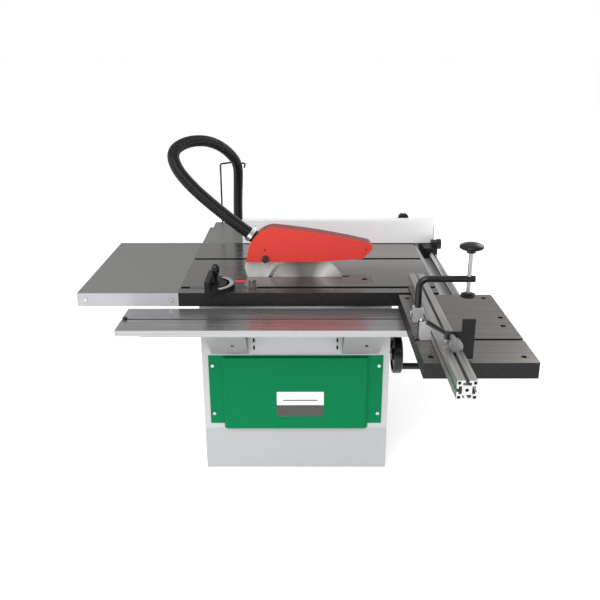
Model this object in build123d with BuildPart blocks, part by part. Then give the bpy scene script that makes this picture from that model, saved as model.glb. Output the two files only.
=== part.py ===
from build123d import *
import math
import os

os.makedirs("parts", exist_ok=True)

# A panel saw: sheet-steel cabinet, cast-iron table, tilting and rising 254 mm
# blade, sliding carriage with a cross-cut table, rip fence and mitre gauge.
# Millimetres, +Z up, work is fed towards -X. The origin is on the floor, in the
# middle of the four anchor holes in the plinth.

# ---------------------------------------------------------------- driving sizes
table_height = 635.0  # working surface above the floor
table_length = 800.0  # along the feed, X
table_depth = 575.0  # across the feed, Y
table_rim = 44.0
table_plate = 14.0
cabinet_width = 602.0
cabinet_depth = 575.0
sheet = 3.0
plinth_height = 151.0
left_overhang = 59.0  # table beyond the cabinet's left side
front_overhang = 25.0
anchor_hole = 14.0
anchor_inset = 30.0

blade_diameter = 254.0
blade_bore = 30.0
blade_thickness = 2.2
blade_in = 398.0  # blade centre from the table's left end
blade_back = 160.0  # blade plane from the table's front edge
arbor_drop = 55.0  # arbor axis below the table at full height
tilt_range = 45.0
column_diameter = 20.0
screw_diameter = 14.0
arbor_diameter = 20.0
bearing_outer = 40.0
motor_diameter = 110.0
running = 0.05  # radial running fit
clear = 0.3  # gap between bodies that pass each other

widening_depth = 336.0
outfeed_length = 312.0
outfeed_depth = 580.0
slider_length = 1000.0
slider_width = 180.0
slider_drop = 42.0  # carriage top below the table
slider_depth = 17.0
rail_length = 860.0
rail_rod = 12.0
roller_diameter = 16.0
cross_length = 280.0
cross_depth = 491.0
profile = 45.0  # cross-cut fence section
profile_length = 748.0
guide_diameter = 30.0
rip_length = 721.0
rip_height = 90.5
rip_thickness = 32.0
slot_width = 19.0
slot_depth = 9.5
hose_diameter = 40.0
guard_width = 50.0
guard_wall = 3.0
knife_thickness = 2.2

# ---------------------------------------------------------------- derived places
cabinet_left = -cabinet_width / 2
cabinet_right = cabinet_width / 2
cabinet_front = -cabinet_depth / 2
cabinet_rear = cabinet_depth / 2
table_left = cabinet_left - left_overhang
table_front = cabinet_front - front_overhang
table_right = table_left + table_length
table_rear = table_front + table_depth
cabinet_top = table_height - table_rim
blade_x = table_left + blade_in
blade_y = table_front + blade_back  # also the tilt axis, at the table surface
arbor_z = table_height - arbor_drop
slot_y = table_front + 50
rear_slot_y = table_front + 363


def x_at(distance):
    """A place measured from the table's left end."""
    return table_left + distance


def y_at(distance):
    """A place measured back from the table's front edge."""
    return table_front + distance


def z_at(height):
    """A height measured from the table's surface."""
    return table_height + height


def slab(x0, x1, y0, y1, z0, z1, mode=Mode.ADD):
    """A rectangular block between limits."""
    with Locations((x0, y0, z0)):
        Box(x1 - x0, y1 - y0, z1 - z0, align=(Align.MIN,) * 3, mode=mode)


def rod(start, axis, diameter, length, mode=Mode.ADD):
    """A round bar from a point along a direction."""
    with Locations(Plane(origin=start, z_dir=axis)):
        Cylinder(diameter / 2, length, align=(Align.CENTER, Align.CENTER, Align.MIN), mode=mode)


def save(name, part):
    part.label = name
    export_step(part, f"parts/{name}.step")


def tilt_sector(inner, outer, start, stop, x0, x1, mode=Mode.ADD):
    """An arc-shaped block about the tilt axis; angles run back from straight down."""
    plane = Plane(origin=(x0, blade_y, table_height), x_dir=(0, 1, 0), z_dir=(1, 0, 0))
    with BuildSketch(plane) as sector:
        with BuildLine():
            first = CenterArc((0, 0), outer, start - 90, stop - start)
            second = CenterArc((0, 0), inner, start - 90, stop - start)
            Line(first @ 0, second @ 0)
            Line(first @ 1, second @ 1)
        make_face()
    extrude(sector.sketch, amount=x1 - x0, mode=mode)


def lobed_knob(centre, axis, diameter, thickness, lobes):
    """A hand knob with finger hollows round its rim."""
    plane = Plane(origin=centre, z_dir=axis)
    with BuildSketch(plane) as lobes_face:
        Circle(diameter / 2)
        with PolarLocations(diameter * 0.58, lobes):
            Circle(diameter * 0.14, mode=Mode.SUBTRACT)
    extrude(lobes_face.sketch, amount=thickness)


# ---------------------------------------------------------------- cabinet
seam = 0.1  # the gap where one sheet meets the next


def panel_seams(low, high):
    """Parts the four walls of a sheet-metal box from each other and from its flanges."""
    slab(cabinet_left - 1, cabinet_right + 1, cabinet_front + sheet, cabinet_front + sheet + seam,
         low - 1, high + 1, mode=Mode.SUBTRACT)
    slab(cabinet_left - 1, cabinet_right + 1, cabinet_rear - sheet - seam, cabinet_rear - sheet,
         low - 1, high + 1, mode=Mode.SUBTRACT)
    for inside in (cabinet_left + sheet, cabinet_right - sheet - seam):
        slab(inside, inside + seam, cabinet_front + sheet, cabinet_rear - sheet, low - 1, high + 1,
             mode=Mode.SUBTRACT)


anchor_x = cabinet_width / 2 - anchor_inset
anchor_y = cabinet_depth / 2 - anchor_inset
flange = 50.0
foot_thickness = 4.0

with BuildPart() as base_plinth:
    slab(cabinet_left, cabinet_right, cabinet_front, cabinet_rear, 0, plinth_height)
    slab(cabinet_left + sheet, cabinet_right - sheet, cabinet_front + sheet, cabinet_rear - sheet,
         foot_thickness, plinth_height - sheet, mode=Mode.SUBTRACT)
    slab(cabinet_left + flange, cabinet_right - flange, cabinet_front + flange, cabinet_rear - flange,
         -1, plinth_height + 1, mode=Mode.SUBTRACT)
    with GridLocations(2 * anchor_x, 2 * anchor_y, 2, 2):
        Hole(anchor_hole / 2)
    panel_seams(0, plinth_height)
save("base_plinth", base_plinth.part)

cover_in = 20.0
cover_bottom = z_at(-465)
cover_top = z_at(-221)
cover_left = cabinet_left + cover_in
cover_right = cabinet_right - cover_in
pan_in = 45.0
pan_depth = 12.0
cover_sheet = 2.0
opening_in = 60.0
panel_screw = 6.0
lock_angle = 14.0
wheel_drop = 240.0
wheel_forward = 80.0
wheel_angle = -math.degrees(math.atan2(wheel_forward, wheel_drop))
wheel_radius = math.hypot(wheel_forward, wheel_drop)
arc_slot = 26.0
outlet_x = x_at(260)
outlet_z = z_at(-340)
outlet_width = 180.0
outlet_height = 150.0
gland_x = x_at(560)
gland_z = z_at(-350)
gland_thread = 20.0
cover_screw_places = [
    (side * (cabinet_width / 2 - cover_in - 13), height)
    for side in (-1, 1)
    for height in (cover_bottom + 37, cover_top - 35)
]
bracket_width = 118.0
bracket_lefts = [cabinet_left + 32, cabinet_left + 449]
hook_slots = [(side * 133, z_at(height)) for side in (-1, 1) for height in (-169, -194)]
bracket_bottom = z_at(-216)
bracket_top = z_at(-98)
bracket_nose = cabinet_front - 125
bracket_screw_z = z_at(-150)
bracket_screws = [
    (left + inset, bracket_screw_z)
    for left in bracket_lefts
    for inset in (14, bracket_width - 14)
]

with BuildPart() as cabinet_shell:
    slab(cabinet_left, cabinet_right, cabinet_front, cabinet_rear, plinth_height, cabinet_top)
    slab(cabinet_left + sheet, cabinet_right - sheet, cabinet_front + sheet, cabinet_rear - sheet,
         plinth_height + sheet, cabinet_top - sheet, mode=Mode.SUBTRACT)
    slab(cabinet_left + 32, cabinet_right - 32, cabinet_front + 6, cabinet_rear - 32,
         plinth_height - 1, cabinet_top + 1, mode=Mode.SUBTRACT)
    slab(cover_left + opening_in, cover_right - opening_in, cabinet_front - 1, cabinet_front + sheet + 1,
         cover_bottom + 20, cover_top - 20, mode=Mode.SUBTRACT)
    slab(outlet_x - outlet_width / 2, outlet_x + outlet_width / 2, cabinet_rear - sheet - 1,
         cabinet_rear + 1, outlet_z - outlet_height / 2, outlet_z + outlet_height / 2, mode=Mode.SUBTRACT)
    rod((gland_x, cabinet_rear + 1, gland_z), (0, -1, 0), gland_thread, sheet + 2, mode=Mode.SUBTRACT)
    for place_x, place_z in cover_screw_places + bracket_screws:
        rod((place_x, cabinet_front - 1, place_z), (0, 1, 0), panel_screw, sheet + 2, mode=Mode.SUBTRACT)
    for place_x, place_z in hook_slots:
        slab(place_x - 3, place_x + 3, cabinet_front - 1, cabinet_front + sheet + 1,
             place_z - 7, place_z + 7, mode=Mode.SUBTRACT)
    tilt_sector(wheel_radius - arc_slot / 2, wheel_radius + arc_slot / 2,
                wheel_angle - 3, lock_angle + tilt_range + 3,
                cabinet_right - sheet - 1, cabinet_right + 1, mode=Mode.SUBTRACT)
    panel_seams(plinth_height, cabinet_top)
save("cabinet_shell", cabinet_shell.part)

with BuildPart() as front_cover:
    slab(cover_left, cover_right, cabinet_front - cover_sheet, cabinet_front, cover_bottom, cover_top)
    slab(cover_left + pan_in, cover_right - pan_in, cabinet_front - pan_depth, cabinet_front,
         cover_bottom - 15, cover_top - 5)
    ridge = front_cover.edges().filter_by(Axis.Z).group_by(Axis.Y)[0]
    chamfer(ridge, pan_depth - cover_sheet - 1)
    slab(cover_left + pan_in + pan_depth, cover_right - pan_in - pan_depth,
         cabinet_front - pan_depth + cover_sheet, cabinet_front, cover_bottom - 13, cover_top - 7,
         mode=Mode.SUBTRACT)
    for place_x, place_z in cover_screw_places:
        rod((place_x, cabinet_front - pan_depth, place_z), (0, 1, 0), panel_screw, pan_depth + 1,
            mode=Mode.SUBTRACT)
save("front_cover", front_cover.part)

screw_head = 11.0
screw_head_height = 4.0

# ---------------------------------------------------------------- tables
insert_left = x_at(190)
insert_right = x_at(605)
insert_front = blade_y - 77
insert_back = blade_y + 22
insert_thickness = 5.0
ledge = 5.0
rim_wall = 14.0
rib_left = cabinet_left
rib_right = cabinet_right - rim_wall
cross_rib = y_at(400)

with BuildPart() as main_table:
    slab(table_left, table_right, table_front, table_rear, cabinet_top, table_height)
    pocket_top = table_height - table_plate
    pockets = [
        (table_left + rim_wall, rib_left),
        (rib_left + rim_wall, rib_right),
        (rib_right + rim_wall, table_right - rim_wall),
    ]
    for pocket_left, pocket_right in pockets:
        slab(pocket_left, pocket_right, table_front + rim_wall, cross_rib, cabinet_top - 1, pocket_top,
             mode=Mode.SUBTRACT)
        slab(pocket_left, pocket_right, cross_rib + rim_wall, table_rear - rim_wall, cabinet_top - 1,
             pocket_top, mode=Mode.SUBTRACT)
    for groove_y in (slot_y, rear_slot_y):
        slab(table_left - 1, table_right + 1, groove_y - slot_width / 2, groove_y + slot_width / 2,
             table_height - slot_depth, table_height + 1, mode=Mode.SUBTRACT)
    slab(insert_left, insert_right, insert_front, insert_back, table_height - insert_thickness,
         table_height + 1, mode=Mode.SUBTRACT)
    slab(insert_left + ledge, insert_right - ledge, insert_front + ledge, insert_back - ledge,
         pocket_top - 1, table_height, mode=Mode.SUBTRACT)
save("main_table", main_table.part)

with BuildPart() as table_insert:
    slab(insert_left + clear, insert_right - clear, insert_front + clear, insert_back - clear,
         table_height - insert_thickness, table_height)
    slab(insert_left + 8, blade_x + blade_diameter / 2 + 10, blade_y - 3, blade_y + 8,
         table_height - insert_thickness - 1, table_height + 1, mode=Mode.SUBTRACT)
    with Locations((insert_right - 22, (insert_front + insert_back) / 2, table_height)):
        Hole(9)
save("table_insert", table_insert.part)

widening_rear = table_rear + widening_depth
panel_wall = 6.0

with BuildPart() as table_widening:
    slab(table_left, table_right, table_rear, widening_rear, cabinet_top, table_height)
    slab(table_left + panel_wall, table_right - panel_wall, table_rear + panel_wall,
         widening_rear - panel_wall, cabinet_top - 1, table_height - panel_wall, mode=Mode.SUBTRACT)
    slab(table_left - 1, table_left + 14, widening_rear - 90, widening_rear + 1, cabinet_top - 1,
         table_height + 1, mode=Mode.SUBTRACT)
    slab(table_left + 14, table_left + 14 + panel_wall, widening_rear - 90 - panel_wall, widening_rear,
         cabinet_top, table_height - 1)
    slab(table_left, table_left + 14, widening_rear - 90 - panel_wall, widening_rear - 90,
         cabinet_top, table_height - 1)
save("table_widening", table_widening.part)

outfeed_left = table_left - outfeed_length
extension_screws = [(outfeed_left + 27, z_at(-22)), (table_left - 22, z_at(-22))]

with BuildPart() as outfeed_extension:
    slab(outfeed_left, table_left, table_front, table_front + outfeed_depth, cabinet_top, table_height)
    fillet(outfeed_extension.edges().filter_by(Axis.Y).group_by(Axis.Z)[-1], 2)
    slab(outfeed_left + sheet, table_left - sheet, table_front + sheet,
         table_front + outfeed_depth - sheet, cabinet_top - 1, table_height - sheet, mode=Mode.SUBTRACT)
    for place_x, place_z in extension_screws:
        rod((place_x, table_front - 1, place_z), (0, 1, 0), panel_screw, sheet + 2, mode=Mode.SUBTRACT)
save("outfeed_extension", outfeed_extension.part)

# ---------------------------------------------------------------- rail and carriage
rail_left = x_at(-100)
slider_left = x_at(-150)
slider_front = y_at(-205)
slider_back = slider_front + slider_width
slider_middle = (slider_front + slider_back) / 2
slider_top = z_at(-slider_drop)
slider_bottom = slider_top - slider_depth
rod_spread = 60.0
beam_middle = y_at(-80)
rod_rows = [beam_middle - rod_spread / 2, beam_middle + rod_spread / 2]
rod_z = bracket_top + 15
beam_top = rod_z - 3
beam_half = rod_spread / 2 + 8

with BuildPart() as rail_brackets:
    for left in bracket_lefts:
        with BuildSketch(Plane(origin=(left, 0, 0), x_dir=(0, 1, 0), z_dir=(1, 0, 0))):
            with BuildLine():
                Polyline((cabinet_front, bracket_bottom), (cabinet_front, bracket_top),
                         (bracket_nose, bracket_top), (bracket_nose, bracket_top - 6), close=True)
            make_face()
            with BuildLine():
                Polyline((cabinet_front - sheet, bracket_bottom + 3 * sheet),
                         (cabinet_front - sheet, bracket_top - sheet),
                         (bracket_nose + 6, bracket_top - sheet), close=True)
            make_face(mode=Mode.SUBTRACT)
        extrude(amount=bracket_width)
        rod((left + 0.62 * bracket_width, cabinet_front - 80, z_at(-163)), (0, 1, 0), 12, 65,
            mode=Mode.SUBTRACT)
        for inset in (14, bracket_width - 14):
            rod((left + inset, cabinet_front - sheet - 1, bracket_screw_z), (0, 1, 0), panel_screw,
                sheet + 2, mode=Mode.SUBTRACT)
save("rail_brackets", rail_brackets.part)

beam_wall = 5.0

with BuildPart() as slide_rail:
    with BuildSketch(Plane(origin=(rail_left, beam_middle, 0), x_dir=(0, 1, 0), z_dir=(1, 0, 0))):
        with Locations((0, (bracket_top + beam_top) / 2)):
            Rectangle(2 * beam_half, beam_top - bracket_top)
        with Locations((0, beam_top)):
            Rectangle(rod_spread - 24, 2 * beam_wall, mode=Mode.SUBTRACT)
        with Locations((-rod_spread / 2, rod_z), (rod_spread / 2, rod_z)):
            Circle(rail_rod / 2)
    extrude(amount=rail_length)
save("slide_rail", slide_rail.part)

roller_width = 12.0
axle = 6.0
lug_wall = 5.0
roller_z = rod_z + rail_rod / 2 + running + roller_diameter / 2
roller_columns = [x_at(330), x_at(630)]
roller_places = [(place_x, place_y) for place_x in roller_columns for place_y in rod_rows]
lug_half = roller_width / 2 + clear + lug_wall

with BuildPart() as sliding_table:
    with BuildSketch(Plane(origin=(slider_left, slider_middle, slider_top), x_dir=(0, 1, 0),
                           z_dir=(1, 0, 0))):
        with Locations((0, -slider_depth / 2)):
            Rectangle(slider_width, slider_depth)
        for cell in (-1, 1):
            with Locations((cell * 48, -slider_depth / 2)):
                Rectangle(62, slider_depth - 6, mode=Mode.SUBTRACT)
        with Locations((0, -5)):
            Rectangle(9, 10.1, mode=Mode.SUBTRACT)
        with Locations((0, -9)):
            Rectangle(18, 5, mode=Mode.SUBTRACT)
        for fine in (-74, -58, -42, -26, 26, 42, 58, 74):
            with Locations((fine, 0)):
                Rectangle(1.6, 1.6, mode=Mode.SUBTRACT)
    extrude(amount=slider_length)
    for place_x, place_y in roller_places:
        slab(place_x - 14, place_x + 14, place_y - lug_half, place_y + lug_half, roller_z - 6,
             slider_bottom)
        slab(place_x - 15, place_x + 15, place_y - roller_width / 2 - clear,
             place_y + roller_width / 2 + clear, roller_z - 7, slider_bottom, mode=Mode.SUBTRACT)
        rod((place_x, place_y - lug_half - 1, roller_z), (0, 1, 0), axle, 2 * lug_half + 2,
            mode=Mode.SUBTRACT)
save("sliding_table", sliding_table.part)

with BuildPart() as carriage_rollers:
    for place_x, place_y in roller_places:
        rod((place_x, place_y - roller_width / 2, roller_z), (0, 1, 0), roller_diameter, roller_width)
        rod((place_x, place_y - lug_half, roller_z), (0, 1, 0), axle, 2 * lug_half)
save("carriage_rollers", carriage_rollers.part)

cross_left = x_at(674)
cross_right = cross_left + cross_length
cross_back = y_at(-20)
cross_front = cross_back - cross_depth
cross_wall = 12.0
cross_plate = 10.0
fence_left = x_at(712)
fence_right = fence_left + profile
fence_middle = fence_left + profile / 2
fence_bottom = z_at(2)
fence_back = y_at(45)
fence_front = fence_back - profile_length
pivot_y = y_at(-60)
pivot_diameter = 8.0
cross_holes = [
    (cross_right - 30, cross_front + 35),
    (cross_left + 22, cross_front + 35),
    (cross_right - 20, cross_back - 192),
    (cross_right - 29, cross_back - 254),
    (cross_right - 29, cross_back - 31),
    (cross_left + 22, cross_back - 31),
]

with BuildPart() as crosscut_table:
    slab(cross_left, cross_right, cross_front, cross_back, slider_top, table_height)
    fillet(crosscut_table.edges().filter_by(Axis.Z), 3)
    rib_front = slider_middle - 78
    rib_back = slider_middle + 66
    inner_left = cross_left + cross_wall
    inner_right = cross_right - cross_wall
    bays = [
        (cross_front + cross_wall, rib_front),
        (rib_front + cross_wall, rib_back),
        (rib_back + cross_wall, cross_back - cross_wall),
    ]
    for bay_front, bay_back in bays:
        slab(inner_left, inner_right, bay_front, bay_back, slider_top - 1, table_height - cross_plate,
             mode=Mode.SUBTRACT)
    slab(cross_left - 1, cross_right + 1, cross_front + 137, cross_front + 149, table_height - 6,
         table_height + 1, mode=Mode.SUBTRACT)
    rod((fence_middle, pivot_y, table_height - 16), (0, 0, 1), 24, 16)
    for place_x, place_y in cross_holes:
        rod((place_x, place_y, table_height - 5), (0, 0, 1), 15, 6, mode=Mode.SUBTRACT)
        rod((place_x, place_y, table_height - cross_plate - 1), (0, 0, 1), 9, cross_plate + 2,
            mode=Mode.SUBTRACT)
    rod((fence_middle, pivot_y, table_height - 20), (0, 0, 1), pivot_diameter + 2 * running, 21,
        mode=Mode.SUBTRACT)
save("crosscut_table", crosscut_table.part)

tee_mouth = 8.2
tee_width = 19.0

with BuildPart() as crosscut_fence:
    fence_plane = Plane(origin=(fence_middle, fence_front, fence_bottom + profile / 2), x_dir=(1, 0, 0),
                        z_dir=(0, -1, 0))
    with BuildSketch(fence_plane):
        RectangleRounded(profile, profile, 1.5)
        Circle(4, mode=Mode.SUBTRACT)
        with GridLocations(profile - 11, profile - 11, 2, 2):
            Rectangle(7, 7, mode=Mode.SUBTRACT)
        with PolarLocations(profile / 2 - 4, 4):
            Rectangle(9, tee_mouth, mode=Mode.SUBTRACT)
        with PolarLocations(profile / 2 - 8, 4):
            Rectangle(7, tee_width, mode=Mode.SUBTRACT)
    extrude(amount=-profile_length)
save("crosscut_fence", crosscut_fence.part)

block_side = 27.0
block_height = 41.0
block_right = fence_left
block_fronts = [y_at(-251), y_at(-375)]
block_bottom = z_at(1)

with BuildPart() as fence_mounts:
    for front in block_fronts:
        middle = (block_right - block_side / 2, front + block_side / 2)
        with BuildSketch(Plane.XY.offset(block_bottom)):
            with Locations(middle):
                Rectangle(block_side, block_side)
                with GridLocations(block_side - 9, block_side - 9, 2, 2):
                    Circle(2.6, mode=Mode.SUBTRACT)
        extrude(amount=block_height)
    rod((fence_middle, pivot_y, table_height - 16), (0, 0, 1), pivot_diameter, fence_bottom - z_at(-16))
    slab(fence_middle - 9, fence_middle + 9, pivot_y - 9, pivot_y + 9, fence_bottom + 5,
         fence_bottom + 10.5)
    rod((fence_middle, pivot_y, fence_bottom), (0, 0, 1), pivot_diameter, 6)
save("fence_mounts", fence_mounts.part)

arm_diameter = 18.0
arm_x = block_right - block_side / 2
arm_y = block_fronts[0] + block_side / 2
arm_z = z_at(122)
arm_end = x_at(848)
arm_bottom = block_bottom + block_height
bend_radius = 24.0
spindle_x = x_at(832)
spindle_diameter = 11.0

with BuildPart() as hold_down_arm:
    with BuildLine():
        FilletPolyline((arm_x, arm_y, arm_bottom), (arm_x, arm_y, arm_z), (arm_end, arm_y, arm_z),
                       radius=bend_radius)
    with BuildSketch(Plane(origin=(arm_x, arm_y, arm_bottom), z_dir=(0, 0, 1))):
        Circle(arm_diameter / 2)
    sweep()
    rod((spindle_x, arm_y, arm_z - arm_diameter), (0, 0, 1), spindle_diameter + 2 * running,
        2 * arm_diameter, mode=Mode.SUBTRACT)
save("hold_down_arm", hold_down_arm.part)

pad_bottom = z_at(72)
pad_thickness = 10.0
pad_diameter = 39.0
knob_bottom = z_at(196)

with BuildPart() as hold_down_pad:
    rod((spindle_x, arm_y, pad_bottom), (0, 0, 1), pad_diameter, pad_thickness - 3)
    rod((spindle_x, arm_y, pad_bottom + pad_thickness - 3), (0, 0, 1), pad_diameter - 14, 3)
    rod((spindle_x, arm_y, pad_bottom + 4), (0, 0, 1), spindle_diameter - 3 + 2 * running, pad_thickness,
        mode=Mode.SUBTRACT)
save("hold_down_pad", hold_down_pad.part)

with BuildPart() as hold_down_spindle:
    rod((spindle_x, arm_y, pad_bottom + pad_thickness + clear), (0, 0, 1), spindle_diameter,
        knob_bottom - pad_bottom)
    rod((spindle_x, arm_y, pad_bottom + 4 + clear), (0, 0, 1), spindle_diameter - 3, pad_thickness)
    with BuildSketch(Plane(origin=(spindle_x, arm_y, knob_bottom), x_dir=(1, 0, 0), z_dir=(0, -1, 0))):
        with BuildLine():
            Line((0, 0), (12, 0))
            Line((12, 0), (14, 8))
            ThreePointArc((14, 8), (22, 8.5), (29, 11))
            ThreePointArc((29, 11), (32.5, 16), (29, 21))
            ThreePointArc((29, 21), (18, 25.5), (4, 27))
            Polyline((4, 27), (0, 27), (0, 0))
        make_face()
    revolve(axis=Axis((spindle_x, arm_y, 0), (0, 0, 1)))
save("hold_down_spindle", hold_down_spindle.part)

fence_top = fence_bottom + profile
stop_back = y_at(-500)
stop_front = y_at(-540)
hinge_x = fence_middle + 4
hinge_z = fence_top + 16
hinge_pin = 10.0
lever_x = fence_middle - 12

with BuildPart() as stop_carrier:
    slab(fence_left - 1, fence_right + 1, stop_front, stop_back, fence_top, fence_top + 10)
    rod((hinge_x, stop_front - 16, hinge_z), (0, 1, 0), 30, 16)
    slab(hinge_x - 8, hinge_x + 8, stop_front - 16, stop_back, fence_top, hinge_z)
    rod((hinge_x, stop_front, hinge_z), (0, 1, 0), 16, stop_back - stop_front)
    rod((hinge_x, stop_back, hinge_z), (0, 1, 0), hinge_pin, 16)
    rod((lever_x, (stop_front + stop_back) / 2, fence_top + 10), (0, 0, 1), 15, 10)
save("stop_carrier", stop_carrier.part)

plate_left = x_at(762)
plate_right = x_at(793)
plate_thickness = 6.0

with BuildPart() as stop_plate:
    slab(plate_left, plate_right, stop_back + clear, stop_back + clear + plate_thickness, z_at(5), z_at(107))
    rod((hinge_x, stop_back + clear, hinge_z), (0, 1, 0), 24, plate_thickness)
    slab(hinge_x, plate_left + 5, stop_back + clear, stop_back + clear + plate_thickness, hinge_z - 12,
         hinge_z + 12)
    rod((hinge_x, stop_back - 1, hinge_z), (0, 1, 0), hinge_pin + 2 * running, 20, mode=Mode.SUBTRACT)
save("stop_plate", stop_plate.part)

lever_y = (stop_front + stop_back) / 2
lever_bottom = fence_top + 20

with BuildPart() as stop_lever:
    rod((lever_x, lever_y, lever_bottom), (0, 0, 1), 14, 18)
    with BuildSketch(Plane(origin=(lever_x, lever_y, lever_bottom + 12), z_dir=(-0.86, 0.1, 0.5))):
        Circle(4.5)
    extrude(amount=56, taper=-2)
save("stop_lever", stop_lever.part)

# ---------------------------------------------------------------- rip fence
angle_left = table_right
angle_back = y_at(905)
angle_front = y_at(-13)
guide_x = table_right + 60
guide_z = z_at(-24)
angle_leg = guide_z - guide_diameter / 2
angle_wall = 5.0

with BuildPart() as fence_rail_angle:
    slab(angle_left, angle_left + angle_wall, angle_front, angle_back, z_at(-table_rim), z_at(-8))
    slab(angle_left, guide_x + 7, angle_front, angle_back, angle_leg - angle_wall, angle_leg)
save("fence_rail_angle", fence_rail_angle.part)

with BuildPart() as fence_guide_bar:
    rod((guide_x, angle_front, guide_z), (0, 1, 0), guide_diameter, angle_back - angle_front)
    chamfer(fence_guide_bar.edges().filter_by(GeomType.CIRCLE), 1.5)
save("fence_guide_bar", fence_guide_bar.part)

rip_face = y_at(565)
rip_back = rip_face + rip_thickness
rip_left = x_at(155)
rip_bottom = z_at(1.5)
head_front = rip_face - 70
head_back = rip_face + 75
head_left = guide_x - 26
head_right = guide_x + 24
post_left = x_at(740)
post_thickness = 12.0
clamp_x = x_at(767)
clamp_z = rip_bottom + rip_height - 8
lock_y = rip_face - 25
lock_z = z_at(5)
lock_stud = 10.0

with BuildPart() as rip_fence_head:
    slab(head_left, head_right, head_front, head_back, z_at(-46), z_at(0.5))
    fillet(rip_fence_head.edges().filter_by(Axis.Z), 8)
    rod((guide_x, head_front - 1, guide_z), (0, 1, 0), guide_diameter + 0.6, head_back - head_front + 2,
        mode=Mode.SUBTRACT)
    slab(head_left - 1, guide_x + 10, head_front - 1, head_back + 1, z_at(-50), angle_leg + clear,
         mode=Mode.SUBTRACT)
    slab(head_right - 18, head_right, lock_y - 22, lock_y + 17, z_at(0), z_at(18))
    slab(post_left, head_right, rip_back, rip_back + post_thickness, z_at(2), clamp_z - 22)
    slab(post_left, clamp_x + 22, rip_back, rip_back + post_thickness, z_at(2), clamp_z + 6)
    slab(head_left, head_right, rip_back, head_back, z_at(0), z_at(14))
    rod((head_right - 20, lock_y, lock_z), (1, 0, 0), lock_stud + 2 * running, 30, mode=Mode.SUBTRACT)
    rod((clamp_x, rip_back - 1, clamp_z), (0, 1, 0), 8 + 2 * running, post_thickness + 2,
        mode=Mode.SUBTRACT)
save("rip_fence_head", rip_fence_head.part)

with BuildPart() as rip_fence_profile:
    rip_plane = Plane(origin=(rip_left, (rip_face + rip_back) / 2, rip_bottom + rip_height / 2),
                      x_dir=(0, 1, 0), z_dir=(1, 0, 0))
    with BuildSketch(rip_plane):
        RectangleRounded(rip_thickness, rip_height, 1.5)
        with GridLocations(0, 28, 1, 3):
            Rectangle(rip_thickness - 6, 24, mode=Mode.SUBTRACT)
    extrude(amount=rip_length)
    slab(rip_left + 10, rip_left + rip_length - 5, rip_back - 4, rip_back + 1, clamp_z - 4.5, clamp_z + 4.5,
         mode=Mode.SUBTRACT)
save("rip_fence_profile", rip_fence_profile.part)

with BuildPart() as rip_lock_knob:
    rod((head_right - 18, lock_y, lock_z), (1, 0, 0), lock_stud, 22)
    lobed_knob((head_right + 2, lock_y, lock_z), (1, 0, 0), 38, 15, 6)
save("rip_lock_knob", rip_lock_knob.part)

with BuildPart() as rip_clamp_knob:
    rod((clamp_x, rip_back, clamp_z), (0, 1, 0), 8, post_thickness + 4)
    lobed_knob((clamp_x, rip_back + post_thickness + 1, clamp_z), (0, 1, 0), 44, 16, 5)
save("rip_clamp_knob", rip_clamp_knob.part)

# ---------------------------------------------------------------- mitre gauge
gauge_x = x_at(95)
gauge_y = slot_y
bar_left = x_at(30)
bar_right = x_at(240)
bar_gap = 0.15
head_bottom = z_at(1)
head_top = z_at(15)
head_radius = 75.0
pivot_pin = 10.0

with BuildPart() as mitre_bar:
    slab(bar_left, bar_right, slot_y - slot_width / 2 + bar_gap, slot_y + slot_width / 2 - bar_gap,
         table_height - slot_depth + bar_gap, z_at(0.5))
    rod((gauge_x, gauge_y, z_at(0)), (0, 0, 1), pivot_pin, head_top - z_at(0))
    slab(bar_right - 26, bar_right - 4, slot_y - 15, slot_y + 15, z_at(0.5), z_at(20))
    rod((bar_right - 4, slot_y, z_at(13)), (1, 0, 0), 5, 12)
save("mitre_bar", mitre_bar.part)

with BuildPart() as mitre_head:
    with BuildSketch(Plane.XY.offset(head_bottom)):
        with Locations((gauge_x, gauge_y)):
            Circle(head_radius)
            with Locations((-head_radius + 4, 0)):
                Rectangle(2 * head_radius, 2 * head_radius + 2, mode=Mode.SUBTRACT)
        with BuildLine():
            slot_arc = CenterArc((gauge_x, gauge_y), head_radius - 20, -55, 110)
        SlotArc(arc=slot_arc, height=7, mode=Mode.SUBTRACT)
    extrude(amount=head_top - head_bottom)
    slab(gauge_x - 10, gauge_x + 5, gauge_y - head_radius, gauge_y + head_radius - 25, head_bottom, z_at(42))
    slab(gauge_x - 10, gauge_x + 25, gauge_y - 12, gauge_y + 12, head_bottom, z_at(20))
    rod((gauge_x, gauge_y, head_bottom - 1), (0, 0, 1), pivot_pin + 2 * running, head_top - head_bottom + 1,
        mode=Mode.SUBTRACT)
save("mitre_head", mitre_head.part)

handle_x = gauge_x + 17

with BuildPart() as mitre_handle:
    rod((handle_x, gauge_y, z_at(20) + clear), (0, 0, 1), 10, 22)
    with BuildSketch(Plane(origin=(handle_x, gauge_y, z_at(36)), x_dir=(1, 0, 0), z_dir=(0, -1, 0))):
        with BuildLine():
            Line((0, 0), (7, 0))
            Spline((7, 0), (12, 20), (10, 36), (0, 42))
            Line((0, 42), (0, 0))
        make_face()
    revolve(axis=Axis((handle_x, gauge_y, 0), (0, 0, 1)))
save("mitre_handle", mitre_handle.part)

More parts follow.
